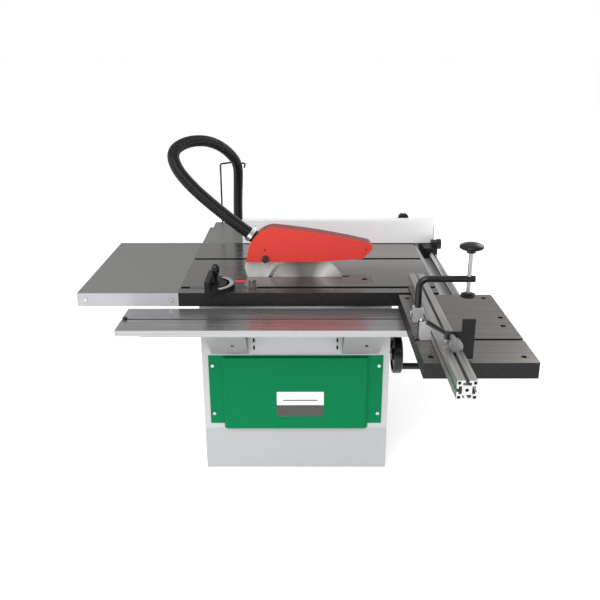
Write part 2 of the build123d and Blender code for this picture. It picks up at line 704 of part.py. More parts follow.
# ---------------------------------------------------------------- tilting cradle
side_plates = [(x_at(135), x_at(149)), (x_at(591), x_at(605))]
key_inner = 140.0
key_outer = 160.0
trunnion_wall = 12.0
column_y = blade_y - 80
column_xs = [blade_x - 100, blade_x + 100]
beam_front = column_y - 28
beam_back = column_y + 18
beam_high = z_at(-25)
beam_low = z_at(-50)
lower_high = z_at(-385)
lower_low = z_at(-410)
belt_half = 48.0
screw_x = blade_x + 150
wheel_y = blade_y - wheel_forward
wheel_z = z_at(-wheel_drop)
gear_radius = 18.0
shaft_diameter = 16.0
knife_left = x_at(200)
knife_right = x_at(255)
shelf_top = wheel_z - gear_radius - 4
lock_y_place = blade_y + wheel_radius * math.sin(math.radians(lock_angle))
lock_z_place = table_height - wheel_radius * math.cos(math.radians(lock_angle))
lock_thread = 12.0

with BuildPart() as trunnions:
    for outside, inside, key_side in (
        (side_plates[0][0] - 2 - trunnion_wall, side_plates[0][0] - 2, -1),
        (side_plates[1][1] + 2, side_plates[1][1] + 2 + trunnion_wall, 1),
    ):
        tilt_sector(key_inner - 12, key_outer + 16, -85, 85, outside, inside)
        far = outside - 26 if key_side < 0 else inside + 26
        slab(min(outside, far), max(inside, far), blade_y - 128, blade_y + 170, pocket_top - 8, pocket_top)
        tilt_sector(key_inner - clear, key_outer + clear, -34, 59, outside - 1, inside + 1,
                    mode=Mode.SUBTRACT)
    slab(cabinet_left, cabinet_right, blade_y - 200, blade_y + 200, pocket_top, z_at(10),
         mode=Mode.SUBTRACT)
    slab(cabinet_left, cabinet_right, blade_y - 200, blade_y - 128, z_at(-300), z_at(0), mode=Mode.SUBTRACT)
save("trunnions", trunnions.part)

with BuildPart() as tilt_cradle:
    for number, (near, away) in enumerate(side_plates):
        slab(near, away, beam_front, beam_back + 22, lower_low, beam_high)
        tilt_sector(100, key_outer + 10, -42, 20, near, away)
        key_start = near - 2 - trunnion_wall if number == 0 else away
        tilt_sector(key_inner, key_outer, -33, 12, key_start, key_start + trunnion_wall + 2)
    for low, high in ((beam_low, beam_high), (lower_low, lower_high)):
        slab(side_plates[0][1], side_plates[1][0], beam_front, beam_back, low, high)
    slab(blade_x - belt_half, blade_x + belt_half, beam_front + 24, beam_back + 1, beam_low - 1,
         beam_high + 1, mode=Mode.SUBTRACT)
    slab(knife_left, knife_right, beam_back - 1, blade_y - knife_thickness / 2, z_at(-62), z_at(-38))
    slab(knife_left, knife_right, beam_back - 20, beam_back, z_at(-62), beam_low + 1)
    slab(screw_x - 14, side_plates[1][0], beam_front, beam_back, shelf_top - 15, shelf_top)
    slab(side_plates[1][0], side_plates[1][1], beam_back, lock_y_place + 24, wheel_z - 35, wheel_z + 25)
    for column_x in column_xs:
        rod((column_x, column_y, lower_low - 1), (0, 0, 1), column_diameter, beam_high - lower_low + 2,
            mode=Mode.SUBTRACT)
    rod((screw_x, column_y, shelf_top - 16), (0, 0, 1), screw_diameter + 2 * running,
        beam_high - shelf_top + 18, mode=Mode.SUBTRACT)
    rod((screw_x, wheel_y, wheel_z), (1, 0, 0), shaft_diameter + 2 * running, 200, mode=Mode.SUBTRACT)
    rod((side_plates[1][0] - 1, lock_y_place, lock_z_place), (1, 0, 0), lock_thread + 2 * running, 20,
        mode=Mode.SUBTRACT)
save("tilt_cradle", tilt_cradle.part)

with BuildPart() as guide_columns:
    for column_x in column_xs:
        rod((column_x, column_y, lower_low), (0, 0, 1), column_diameter, beam_high - lower_low)
save("guide_columns", guide_columns.part)

with BuildPart() as lead_screw:
    rod((screw_x, column_y, shelf_top - 15), (0, 0, 1), screw_diameter, beam_high - shelf_top + 13)
    with BuildSketch(Plane(origin=(screw_x, column_y, wheel_z), x_dir=(1, 0, 0), z_dir=(0, -1, 0))):
        with BuildLine():
            Polyline((0, -gear_radius - 4), (gear_radius, -gear_radius - 4),
                     (gear_radius, -gear_radius - 0.6), (gear_radius - 7, -gear_radius + 6.4),
                     (0, -gear_radius + 6.4), close=True)
        make_face()
    revolve(axis=Axis((screw_x, column_y, 0), (0, 0, 1)))
save("lead_screw", lead_screw.part)

hub_left = cabinet_right + 11
wheel_out = 64.0
wheel_depth = 32.0
grip_radius = 46.0
grip_angle = 217.0
grip_y = wheel_y + grip_radius * math.cos(math.radians(grip_angle))
grip_z = wheel_z + grip_radius * math.sin(math.radians(grip_angle))
grip_pin = 8.0
grip_length = 58.0

with BuildPart() as handwheel_shaft:
    rod((screw_x + gear_radius + 0.6, wheel_y, wheel_z), (1, 0, 0), shaft_diameter,
        hub_left + wheel_depth - 4 - screw_x - gear_radius)
    with BuildSketch(Plane(origin=(screw_x, wheel_y, wheel_z), x_dir=(1, 0, 0), z_dir=(0, -1, 0))):
        with BuildLine():
            Polyline((gear_radius + 4, 0), (gear_radius + 4, gear_radius), (gear_radius + 0.6, gear_radius),
                     (gear_radius - 6.4, gear_radius - 7), (gear_radius - 6.4, 0), close=True)
        make_face()
    revolve(axis=Axis((screw_x, wheel_y, wheel_z), (1, 0, 0)))
save("handwheel_shaft", handwheel_shaft.part)

with BuildPart() as height_handwheel:
    wheel_plane = Plane(origin=(hub_left, wheel_y, wheel_z), x_dir=(1, 0, 0), z_dir=(0, -1, 0))
    with BuildSketch(wheel_plane):
        with BuildLine():
            Polyline((0, shaft_diameter / 2), (0, 20), (6, 22), (10, wheel_out - 10), (4, wheel_out - 8),
                     (4, wheel_out - 2), (8, wheel_out), (wheel_depth - 4, wheel_out),
                     (wheel_depth, wheel_out - 4), (wheel_depth, wheel_out - 10),
                     (wheel_depth - 14, wheel_out - 12), (wheel_depth - 18, 22), (wheel_depth - 4, 18),
                     (wheel_depth - 4, shaft_diameter / 2), close=True)
        make_face()
    revolve(axis=Axis((hub_left, wheel_y, wheel_z), (1, 0, 0)))
    rod((hub_left + 9, grip_y, grip_z), (1, 0, 0), 20, wheel_depth - 9)
    rod((hub_left + wheel_depth - 1, grip_y, grip_z), (1, 0, 0), grip_pin, grip_length - 2)
save("height_handwheel", height_handwheel.part)

with BuildPart() as handwheel_grip:
    rod((hub_left + wheel_depth + 0.5, grip_y, grip_z), (1, 0, 0), 21, grip_length)
    fillet(handwheel_grip.edges().filter_by(GeomType.CIRCLE), 2)
    rod((hub_left + wheel_depth - 1, grip_y, grip_z), (1, 0, 0), grip_pin + 2 * running, grip_length - 2,
        mode=Mode.SUBTRACT)
save("handwheel_grip", handwheel_grip.part)

with BuildPart() as tilt_lock_knob:
    rod((side_plates[1][0], lock_y_place, lock_z_place), (1, 0, 0), lock_thread,
        cabinet_right + 14 - side_plates[1][0])
    lobed_knob((cabinet_right + 3, lock_y_place, lock_z_place), (1, 0, 0), 50, 22, 6)
save("tilt_lock_knob", tilt_lock_knob.part)

# ---------------------------------------------------------------- knife and guard
knife_gap = 12.0
knob_in = 263.0
knob_up = 68.0
knob_bolt = 8.0
knife_arc = blade_diameter / 2 + knife_gap


def knife_point(height):
    """The knife's front edge: an arc about the blade's axis at full height."""
    reach = knife_arc**2 - (height + arbor_drop) ** 2
    return (blade_in - math.sqrt(reach), height)


with BuildPart() as riving_knife:
    side_plane = Plane(origin=(table_left, blade_y + knife_thickness / 2, table_height), x_dir=(1, 0, 0),
                       z_dir=(0, -1, 0))
    with BuildSketch(side_plane):
        with BuildLine():
            Polyline(knife_point(-62), (200, -62), (205, -10), (194, 32), (198, 50), (210, 57), (216, 86),
                     (238, 94), (300, 108), knife_point(76))
            ThreePointArc(knife_point(76), knife_point(20), knife_point(-62))
        make_face()
    extrude(amount=knife_thickness)
    rod((x_at(knob_in), blade_y - guard_width, z_at(knob_up)), (0, 1, 0), knob_bolt + 2 * running,
        2 * guard_width, mode=Mode.SUBTRACT)
save("riving_knife", riving_knife.part)


def guard_outline(inset):
    """The hood's side, seen square on, moved in by a wall on every edge but the bottom."""
    floor = 57 if inset == 0 else 20
    with BuildLine() as outline:
        Line((200 + inset, floor), (207 + inset, 88))
        ThreePointArc((207 + inset, 88), (229 + inset * 0.8, 138 - inset * 0.7), (274, 169 - inset))
        ThreePointArc((274, 169 - inset), (287, 172 - inset), (300, 171 - inset))
        ThreePointArc((300, 171 - inset), (452, 150 - inset), (592, 121 - inset))
        ThreePointArc((592, 121 - inset), (604 - inset * 0.8, 111 - inset * 0.5), (604 - inset, 96))
        if inset == 0:
            Polyline((604, 96), (575, 67), (430, 58), (200, 57))
        else:
            Polyline((604 - inset, 96), (575, 64), (575, floor), (200 + inset, floor))
    make_face(outline.edges())


port_bore = 33.0
port_diameter = 42.0
port_root = (x_at(250), z_at(118))
port_end = (x_at(210), z_at(148))
port_turn = math.atan2(port_end[1] - port_root[1], port_end[0] - port_root[0])
port_direction = (math.cos(port_turn), 0, math.sin(port_turn))

for name, face_y, side in (("guard_front_shell", blade_y - guard_width / 2, -1),
                           ("guard_rear_shell", blade_y + guard_width / 2, 1)):
    with BuildPart() as shell:
        outer_plane = Plane(origin=(table_left, face_y, table_height), x_dir=(1, 0, 0), z_dir=(0, -1, 0))
        with BuildSketch(outer_plane):
            guard_outline(0)
        extrude(amount=side * guard_width / 2)
        inner_plane = outer_plane.offset(side * guard_wall)
        with BuildSketch(inner_plane):
            guard_outline(guard_wall)
        extrude(amount=side * guard_width / 2, mode=Mode.SUBTRACT)
        rod((port_root[0], blade_y, port_root[1]), port_direction, port_diameter, 60, mode=Mode.SUBTRACT)
        rod((x_at(knob_in), blade_y - guard_width, z_at(knob_up)), (0, 1, 0), knob_bolt + 2 * running,
            2 * guard_width, mode=Mode.SUBTRACT)
    save(name, shell.part)

knob_diameter = 22.0

with BuildPart() as guard_knob:
    rod((x_at(knob_in), blade_y - guard_width / 2 - 12, z_at(knob_up)), (0, 1, 0), knob_diameter, 12)
    chamfer(guard_knob.edges().filter_by(GeomType.CIRCLE).sort_by(Axis.Y)[0], 2)
    rod((x_at(knob_in), blade_y - guard_width / 2 - 14, z_at(knob_up)), (0, 1, 0), 9, 3)
    rod((x_at(knob_in), blade_y - guard_width / 2, z_at(knob_up)), (0, 1, 0), knob_bolt, guard_width + 6)
    rod((x_at(knob_in), blade_y + guard_width / 2, z_at(knob_up)), (0, 1, 0), 16, 7)
save("guard_knob", guard_knob.part)

port_length = math.hypot(port_end[0] - port_root[0], port_end[1] - port_root[1])

with BuildPart() as hose_port:
    rod((port_root[0], blade_y, port_root[1]), port_direction, port_diameter, port_length)
    rod((port_root[0], blade_y, port_root[1]), port_direction, port_bore, port_length + 1,
        mode=Mode.SUBTRACT)
save("hose_port", hose_port.part)

clamp_back = 13.5
clamp_width = 13.0
clamp_start = Vector(port_end[0], blade_y, port_end[1]) - Vector(*port_direction) * clamp_back

with BuildPart() as hose_clamp:
    rod(clamp_start, port_direction, port_diameter + 6, clamp_width)
    rod(clamp_start, port_direction, port_diameter + running, clamp_width + 1, mode=Mode.SUBTRACT)
    screw_middle = clamp_start + Vector(*port_direction) * (clamp_width / 2)
    below_hose = Vector(math.sin(port_turn), 0, -math.cos(port_turn))
    screw_seat = screw_middle + below_hose * (port_diameter / 2 + 6)
    rod((screw_seat.X, blade_y - 10, screw_seat.Z), (0, 1, 0), 8, 20)
save("hose_clamp", hose_clamp.part)

# ---------------------------------------------------------------- blade unit
arbor_pulley_radius = 26.0
motor_pulley_radius = 34.0
pulley_lip = 4.0
belt_width = 12.0
belt_thickness = 5.0
pulley_width = 18.0
pulley_back = blade_y - 62
pulley_front = pulley_back - pulley_width
belt_front = pulley_back - (pulley_width + belt_width) / 2
web_back = blade_y - 48
web_front = blade_y - 60
motor_drop = 250.0
motor_z = z_at(-motor_drop)
motor_back = blade_y + 75
housing_diameter = 70.0
housing_back = blade_y - 12
flange_diameter = 44.0
boss_high = z_at(-60)
boss_low = z_at(-95)
foot_high = z_at(-185)
foot_low = z_at(-215)
bearing_width = 12.0
bearing_fronts = [web_front + 2, housing_back - bearing_width - 2]

with BuildPart() as arbor_carriage:
    rod((blade_x, web_front + 2, arbor_z), (0, 1, 0), housing_diameter, housing_back - web_front - 2)
    slab(column_xs[0] - 18, screw_x + 18, web_front, web_back, boss_low, boss_high)
    slab(blade_x - 60, blade_x + 60, web_front, web_back, motor_z - 60, boss_high)
    slab(column_xs[0] - 18, column_xs[1] + 18, web_front, web_back, foot_low, foot_high)
    for column_x in column_xs:
        for low, high in ((boss_low, boss_high), (foot_low, foot_high)):
            slab(column_x - 18, column_x + 18, column_y - 18, web_front, low, high)
    slab(screw_x - 16, screw_x + 16, column_y - 16, web_front, boss_low, boss_high)
    for column_x in column_xs:
        rod((column_x, column_y, foot_low - 1), (0, 0, 1), column_diameter + 2 * running, 200,
            mode=Mode.SUBTRACT)
    rod((screw_x, column_y, boss_low - 1), (0, 0, 1), screw_diameter + 2 * running, 60, mode=Mode.SUBTRACT)
    rod((blade_x, web_front - 1, arbor_z), (0, 1, 0), arbor_diameter + 4, 100, mode=Mode.SUBTRACT)
    for front in bearing_fronts:
        rod((blade_x, front, arbor_z), (0, 1, 0), bearing_outer, bearing_width, mode=Mode.SUBTRACT)
    rod((blade_x, web_front - 1, motor_z), (0, 1, 0), 32, 20, mode=Mode.SUBTRACT)
save("arbor_carriage", arbor_carriage.part)

with BuildPart() as arbor_bearings:
    for front in bearing_fronts:
        rod((blade_x, front, arbor_z), (0, 1, 0), bearing_outer, bearing_width)
        rod((blade_x, front - 1, arbor_z), (0, 1, 0), arbor_diameter + 2 * running, bearing_width + 2,
            mode=Mode.SUBTRACT)
save("arbor_bearings", arbor_bearings.part)

with BuildPart() as motor:
    rod((blade_x, web_back, motor_z), (0, 1, 0), motor_diameter, motor_back - web_back)
    fillet(motor.edges().filter_by(GeomType.CIRCLE).sort_by(Axis.Y)[-1], 8)
    slab(blade_x + 30, blade_x + 72, blade_y - 30, blade_y + 40, motor_z - 28, motor_z + 28)
    rod((blade_x, web_back - 1, motor_z), (0, 1, 0), 15 + 2 * running, 31, mode=Mode.SUBTRACT)
save("motor", motor.part)


def pulley(height, radius):
    """A flat-belt pulley with a lip each side, on an axis along Y."""
    plane = Plane(origin=(blade_x, pulley_front, height), x_dir=(0, 1, 0), z_dir=(1, 0, 0))
    lip = (pulley_width - belt_width) / 2 - clear
    with BuildSketch(plane) as half:
        with BuildLine():
            Polyline((0, 0), (0, radius + pulley_lip), (lip, radius + pulley_lip), (lip, radius),
                     (pulley_width - lip, radius), (pulley_width - lip, radius + pulley_lip),
                     (pulley_width, radius + pulley_lip), (pulley_width, 0), close=True)
        make_face()
    revolve(half.sketch, axis=Axis((blade_x, 0, height), (0, 1, 0)))


motor_shaft = 15.0
shaft_depth = 28.0

with BuildPart() as motor_pulley:
    pulley(motor_z, motor_pulley_radius)
    rod((blade_x, pulley_back - 1, motor_z), (0, 1, 0), motor_shaft, web_back + shaft_depth - pulley_back)
save("motor_pulley", motor_pulley.part)

with BuildPart() as arbor_pulley:
    pulley(arbor_z, arbor_pulley_radius)
    rod((blade_x, pulley_front - 1, arbor_z), (0, 1, 0), arbor_diameter, pulley_width + 2,
        mode=Mode.SUBTRACT)
save("arbor_pulley", arbor_pulley.part)

with BuildPart() as drive_belt:
    belt_plane = Plane(origin=(blade_x, belt_front, 0), x_dir=(1, 0, 0), z_dir=(0, -1, 0))
    for grow, mode in ((belt_thickness, Mode.ADD), (0.1, Mode.SUBTRACT)):
        with BuildSketch(belt_plane) as belt_loop:
            with Locations((0, arbor_z)):
                Circle(arbor_pulley_radius + grow)
            with Locations((0, motor_z)):
                Circle(motor_pulley_radius + grow)
            make_hull()
        extrude(belt_loop.sketch, amount=-belt_width, mode=mode)
save("drive_belt", drive_belt.part)

thread_diameter = 16.0
plate_half = blade_thickness / 2

with BuildPart() as arbor_shaft:
    rod((blade_x, pulley_front - 3, arbor_z), (0, 1, 0), arbor_diameter, housing_back - pulley_front + 5)
    rod((blade_x, blade_y - 10, arbor_z), (0, 1, 0), flange_diameter, 10 - plate_half)
    rod((blade_x, blade_y - 5, arbor_z), (0, 1, 0), blade_bore - 2 * running, 5)
    rod((blade_x, blade_y - 5, arbor_z), (0, 1, 0), thread_diameter, 25)
save("arbor_shaft", arbor_shaft.part)

teeth = 40

with BuildPart() as saw_blade:
    blade_plane = Plane(origin=(blade_x, blade_y + plate_half, arbor_z), x_dir=(1, 0, 0), z_dir=(0, -1, 0))
    with BuildSketch(blade_plane):
        Circle(blade_diameter / 2)
        Circle(blade_bore / 2, mode=Mode.SUBTRACT)
        with PolarLocations(blade_diameter / 2, teeth):
            with BuildLine(mode=Mode.PRIVATE) as gullet:
                Polyline((1, 0), (-8, -1.5), (-9.5, 3), (-6, 6), (1, 14), close=True)
            make_face(gullet.edges(), mode=Mode.SUBTRACT)
    extrude(amount=blade_thickness)
save("saw_blade", saw_blade.part)

nut_width = 24.0

with BuildPart() as arbor_nut:
    rod((blade_x, blade_y + plate_half, arbor_z), (0, 1, 0), flange_diameter, 5)
    nut_plane = Plane(origin=(blade_x, blade_y + plate_half + 5, arbor_z), x_dir=(1, 0, 0), z_dir=(0, 1, 0))
    with BuildSketch(nut_plane):
        RegularPolygon(nut_width / 2, 6, major_radius=False)
    extrude(amount=11)
    rod((blade_x, blade_y, arbor_z), (0, 1, 0), thread_diameter, 40, mode=Mode.SUBTRACT)
save("arbor_nut", arbor_nut.part)

# ---------------------------------------------------------------- fasteners, switch, dust and hose
with BuildPart() as panel_screws:
    for place_x, place_z in cover_screw_places:
        face = cabinet_front - cover_sheet
        rod((place_x, face - screw_head_height, place_z), (0, 1, 0), screw_head, screw_head_height)
        rod((place_x, face, place_z), (0, 1, 0), panel_screw, 12)
    for place_x, place_z in bracket_screws:
        face = cabinet_front - sheet
        rod((place_x, face - screw_head_height, place_z), (0, 1, 0), screw_head, screw_head_height)
        rod((place_x, face, place_z), (0, 1, 0), panel_screw, 12)
    for place_x, place_z in extension_screws:
        rod((place_x, table_front - screw_head_height, place_z), (0, 1, 0), screw_head, screw_head_height)
        rod((place_x, table_front, place_z), (0, 1, 0), panel_screw, 12)
save("panel_screws", panel_screws.part)

switch_left = cabinet_right
switch_depth = 42.0
switch_front = y_at(425)
switch_back = y_at(500)
switch_low = z_at(-170)
switch_high = z_at(-60)
button_y = (switch_front + switch_back) / 2
start_z = switch_high - 30
stop_z = switch_low + 34
button_travel = 4.0

with BuildPart() as switch_box:
    slab(switch_left, switch_left + switch_depth, switch_front, switch_back, switch_low, switch_high)
    fillet(switch_box.edges().filter_by(Axis.X), 8)
    for height, size in ((start_z, 22), (stop_z, 34)):
        rod((switch_left + switch_depth - 14, button_y, height), (1, 0, 0), size + 2 * clear, 20,
            mode=Mode.SUBTRACT)
save("switch_box", switch_box.part)

with BuildPart() as start_button:
    rod((switch_left + switch_depth - 14 + button_travel + clear, button_y, start_z), (1, 0, 0), 22, 13)
    fillet(start_button.edges().filter_by(GeomType.CIRCLE).sort_by(Axis.X)[-1], 1.5)
save("start_button", start_button.part)

with BuildPart() as stop_button:
    rod((switch_left + switch_depth - 14 + button_travel + clear, button_y, stop_z), (1, 0, 0), 34, 20)
    fillet(stop_button.edges().filter_by(GeomType.CIRCLE).sort_by(Axis.X)[-1], 4)
save("stop_button", stop_button.part)

with BuildPart() as cable_gland:
    rod((gland_x, cabinet_rear - sheet - 8, gland_z), (0, 1, 0), gland_thread, sheet + 8)
    with BuildSketch(Plane(origin=(gland_x, cabinet_rear, gland_z), z_dir=(0, 1, 0))):
        RegularPolygon(14, 6, major_radius=False)
    extrude(amount=8)
    rod((gland_x, cabinet_rear + 8, gland_z), (0, 1, 0), 24, 14)
    fillet(cable_gland.edges().filter_by(GeomType.CIRCLE).sort_by(Axis.Y)[-1], 4)
    rod((gland_x, cabinet_rear - 30, gland_z), (0, 1, 0), 10, 80, mode=Mode.SUBTRACT)
save("cable_gland", cable_gland.part)

holder_wire = 7.0
holder_x = x_at(42)
holder_y = widening_rear + holder_wire / 2
hook_x = x_at(144)

with BuildPart() as hose_holder:
    with BuildLine() as holder_path:
        FilletPolyline((holder_x, holder_y, z_at(-36)), (holder_x, holder_y, z_at(246)),
                       (holder_x + 44, holder_y + 10, z_at(250)), (hook_x, holder_y + 12, z_at(246)),
                       (hook_x, holder_y - 34, z_at(238)), radius=9)
    with BuildSketch(Plane(origin=holder_path.line @ 0, z_dir=holder_path.line % 0)):
        Circle(holder_wire / 2)
    sweep()
save("hose_holder", hose_holder.part)

chute_depth = 50.0
chute_wall = 2.5
main_port = 100.0
port_x = outlet_x + 20
port_z = outlet_z - 18
branch_x = x_at(185)
branch_z = z_at(-305)

with BuildPart() as dust_chute:
    chute_left = outlet_x - outlet_width / 2 - 15
    chute_right = outlet_x + outlet_width / 2 + 15
    chute_low = outlet_z - outlet_height / 2 - 15
    chute_high = outlet_z + outlet_height / 2 + 15
    slab(chute_left, chute_right, cabinet_rear, cabinet_rear + chute_depth, chute_low, chute_high)
    fillet(dust_chute.edges().group_by(Axis.Y)[-1], 12)
    slab(chute_left + 15, chute_right - 15, cabinet_rear - 1, cabinet_rear + chute_depth - chute_wall,
         chute_low + 15, chute_high - 15, mode=Mode.SUBTRACT)
    rod((port_x, cabinet_rear + chute_depth - chute_wall, port_z), (0, 1, 0), main_port, 49.5)
    rod((port_x, cabinet_rear + chute_depth - 10, port_z), (0, 1, 0), main_port - 2 * chute_wall, 80,
        mode=Mode.SUBTRACT)
    rod((branch_x, cabinet_rear + chute_depth - chute_wall, branch_z), (0, 1, 0), port_diameter, 42.5)
    rod((branch_x, cabinet_rear + chute_depth - 10, branch_z), (0, 1, 0), port_bore, 60, mode=Mode.SUBTRACT)
    for depth in (chute_depth - chute_wall - seam, chute_depth):
        slab(chute_left - 1, chute_right + 1, cabinet_rear + depth, cabinet_rear + depth + seam,
             chute_low - 1, chute_high + 1, mode=Mode.SUBTRACT)
    for side in (chute_left + 15 - seam, chute_right - 15):
        slab(side, side + seam, cabinet_rear - 1, cabinet_rear + chute_depth - chute_wall,
             chute_low - 1, chute_high + 1, mode=Mode.SUBTRACT)
    # The two ports are parted in four, as the cabinet is into panels, so each stays open in collision.
    for middle_x, middle_z, diameter in ((port_x, port_z, main_port), (branch_x, branch_z, port_diameter)):
        for turn in (45, 135):
            with Locations(Location((middle_x, cabinet_rear + chute_depth + 45, middle_z), (0, turn, 0))):
                Box(diameter + 10, 90 - 2 * seam, seam, mode=Mode.SUBTRACT)
save("dust_chute", dust_chute.part)

# The hose's route from the guard's port, up and back over the holder, down behind
# the table and into the branch on the dust chute, from the table's corner.
hose_route = [
    (210, 160, 148), (178, 160, 172), (134, 170, 205), (82, 188, 243), (22, 218, 290), (-32, 268, 340),
    (-54, 350, 380), (-24, 456, 396), (24, 568, 388), (64, 684, 356), (96, 798, 306), (118, 890, 248),
    (112, 936, 166), (107, 938, 70), (107, 936, -40), (112, 926, -150), (128, 890, -240), (160, 826, -296),
    (185, 756, -305), (185, 690, -305),
]
hose_points = [Vector(x_at(x), y_at(y), z_at(z)) for x, y, z in hose_route]
hose_radii = []
for before, corner, after in zip(hose_points, hose_points[1:], hose_points[2:]):
    turn = (corner - before).get_angle(after - corner)
    shorter = min((corner - before).length, (after - corner).length)
    hose_radii.append(0.45 * shorter / math.tan(math.radians(turn / 2)))
print("hose radii", [round(radius) for radius in hose_radii])

with BuildPart() as suction_hose:
    with BuildLine() as hose_line:
        FilletPolyline(*hose_points, radius=hose_radii)
    with BuildSketch(Plane(origin=hose_points[0], z_dir=hose_points[1] - hose_points[0])):
        Circle(hose_diameter / 2)
    sweep()
hose_length = sum(edge.length for edge in hose_line.edges())
hose_section = math.pi * hose_diameter**2 / 4
print("hose length", round(hose_length), "volume", round(suction_hose.part.volume),
      "section times length", round(hose_section * hose_length))
save("suction_hose", suction_hose.part)
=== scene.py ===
# %% Load the measured machine
import math

import bmesh
import bpy
from mathutils import Matrix, Vector


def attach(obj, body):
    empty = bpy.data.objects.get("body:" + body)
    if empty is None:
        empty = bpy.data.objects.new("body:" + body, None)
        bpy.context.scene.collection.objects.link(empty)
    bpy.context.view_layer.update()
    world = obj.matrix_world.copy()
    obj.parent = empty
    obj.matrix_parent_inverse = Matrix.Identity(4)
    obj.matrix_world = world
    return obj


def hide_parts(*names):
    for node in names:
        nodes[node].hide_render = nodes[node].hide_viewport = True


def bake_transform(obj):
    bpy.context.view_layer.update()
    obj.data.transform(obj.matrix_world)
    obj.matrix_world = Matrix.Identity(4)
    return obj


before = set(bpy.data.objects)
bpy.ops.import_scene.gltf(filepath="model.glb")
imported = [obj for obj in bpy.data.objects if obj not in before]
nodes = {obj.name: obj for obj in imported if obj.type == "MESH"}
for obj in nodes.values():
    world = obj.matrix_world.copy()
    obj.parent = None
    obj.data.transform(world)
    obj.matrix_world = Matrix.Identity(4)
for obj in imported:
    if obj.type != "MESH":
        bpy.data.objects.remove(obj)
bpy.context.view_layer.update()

# %% [markdown]
# Places. The table's front left top corner is the point that every part of a
# panel saw is set out from, so distances are written from it in millimetres:
# along the table, back across it, and up from its surface. One short helper
# turns them into metres in the machine's own frame, whose origin is on the
# floor under the middle of the cabinet.

# %% Places from the table's corner
TABLE_CORNER = Vector((-0.360, -0.3125, 0.635))


def at(along, back, up):
    """A place in metres from distances in millimetres."""
    return TABLE_CORNER + Vector((along, back, up)) / 1000


print("table's far corner", at(800, 575, 0))

# %% [markdown]
# Camera. It stands in front of the carriage, 1.4 m above the floor, and looks down
# by about twenty degrees, so that the table's top and the cabinet's front both
# show. A 43 mm lens from 2.4 m keeps the table's edges nearly parallel. The
# camera's three axes are worked out from its heading, its dip and a very small
# roll, and written into its matrix, which is easier to check than three angles.

# %% Camera
eye = (0.0238, -2.4067, 1.3677)
heading = -0.0044961
dip = math.radians(19.857)
roll = -0.0027211
forward = Vector((math.sin(heading) * math.cos(dip), math.cos(heading) * math.cos(dip), -math.sin(dip)))
level = Vector((math.cos(heading), -math.sin(heading), 0))
upright = level.cross(forward)
right_axis = level * math.cos(roll) + upright * math.sin(roll)
up_axis = upright * math.cos(roll) - level * math.sin(roll)

lens = bpy.data.cameras.new("lens")
lens.lens = 43.41
lens.sensor_width = 36
camera = bpy.data.objects.new("camera", lens)
axes = Matrix((right_axis, up_axis, -forward)).transposed().to_4x4()
camera.matrix_world = Matrix.Translation(eye) @ axes
bpy.context.scene.collection.objects.link(camera)
bpy.context.scene.camera = camera
print("camera looks along", forward)

# %% [markdown]
# Hose. The suction hose is a thin corrugated tube, 40 mm across, that leaves the
# hood, swings up and back in a loose loop, rests by the wire holder at the back
# of the table and drops to the dust chute. Its route is a list of given points,
# and a NURBS curve that passes near them gives the soft line of a real hose. The
# ribs can't be a bump alone, because they show along the outline, so a ring is
# pushed along the curve and made a little larger and smaller in turn.

# %% The hose's route
hose_route = [
    (210, 160, 148), (178, 160, 172), (134, 170, 205), (82, 188, 243), (22, 218, 290), (-32, 268, 340),
    (-54, 350, 380), (-24, 456, 396), (24, 568, 388), (64, 684, 356), (96, 798, 306), (118, 890, 248),
    (112, 936, 166), (107, 938, 70), (107, 936, -40), (112, 926, -150), (128, 890, -240), (160, 826, -296),
    (185, 756, -305), (185, 690, -305),
]
hose_diameter = 0.040

line = bpy.data.curves.new("hose_line", "CURVE")
line.dimensions = "3D"
line.resolution_u = 36
spline = line.splines.new("NURBS")
spline.points.add(len(hose_route) - 1)
for control, place in zip(spline.points, hose_route):
    control.co = (*at(*place), 1)
spline.order_u = 3
spline.use_endpoint_u = True
line_object = bpy.data.objects.new("hose_line", line)
bpy.context.scene.collection.objects.link(line_object)
bpy.context.view_layer.update()
line_mesh = bpy.data.meshes.new_from_object(line_object)
line_points = [vertex.co.copy() for vertex in line_mesh.vertices]
bpy.data.objects.remove(line_object)


# %% Even steps along the line
def even_steps(points, step):
    """Points along a line at one even spacing."""
    total = sum((b - a).length for a, b in zip(points, points[1:]))
    count = max(2, round(total / step))
    wanted = [total * number / count for number in range(count + 1)]
    found, walked, here = [], 0.0, 0
    for distance in wanted:
        while here < len(points) - 2 and walked + (points[here + 1] - points[here]).length < distance:
            walked += (points[here + 1] - points[here]).length
            here += 1
        span = points[here + 1] - points[here]
        share = min(1, (distance - walked) / span.length)
        found.append(points[here] + span * share)
    return found


rib_pitch = 0.0072
rings_per_rib = 4
hose_points = even_steps(line_points, rib_pitch / rings_per_rib)
print("rings", len(hose_points))


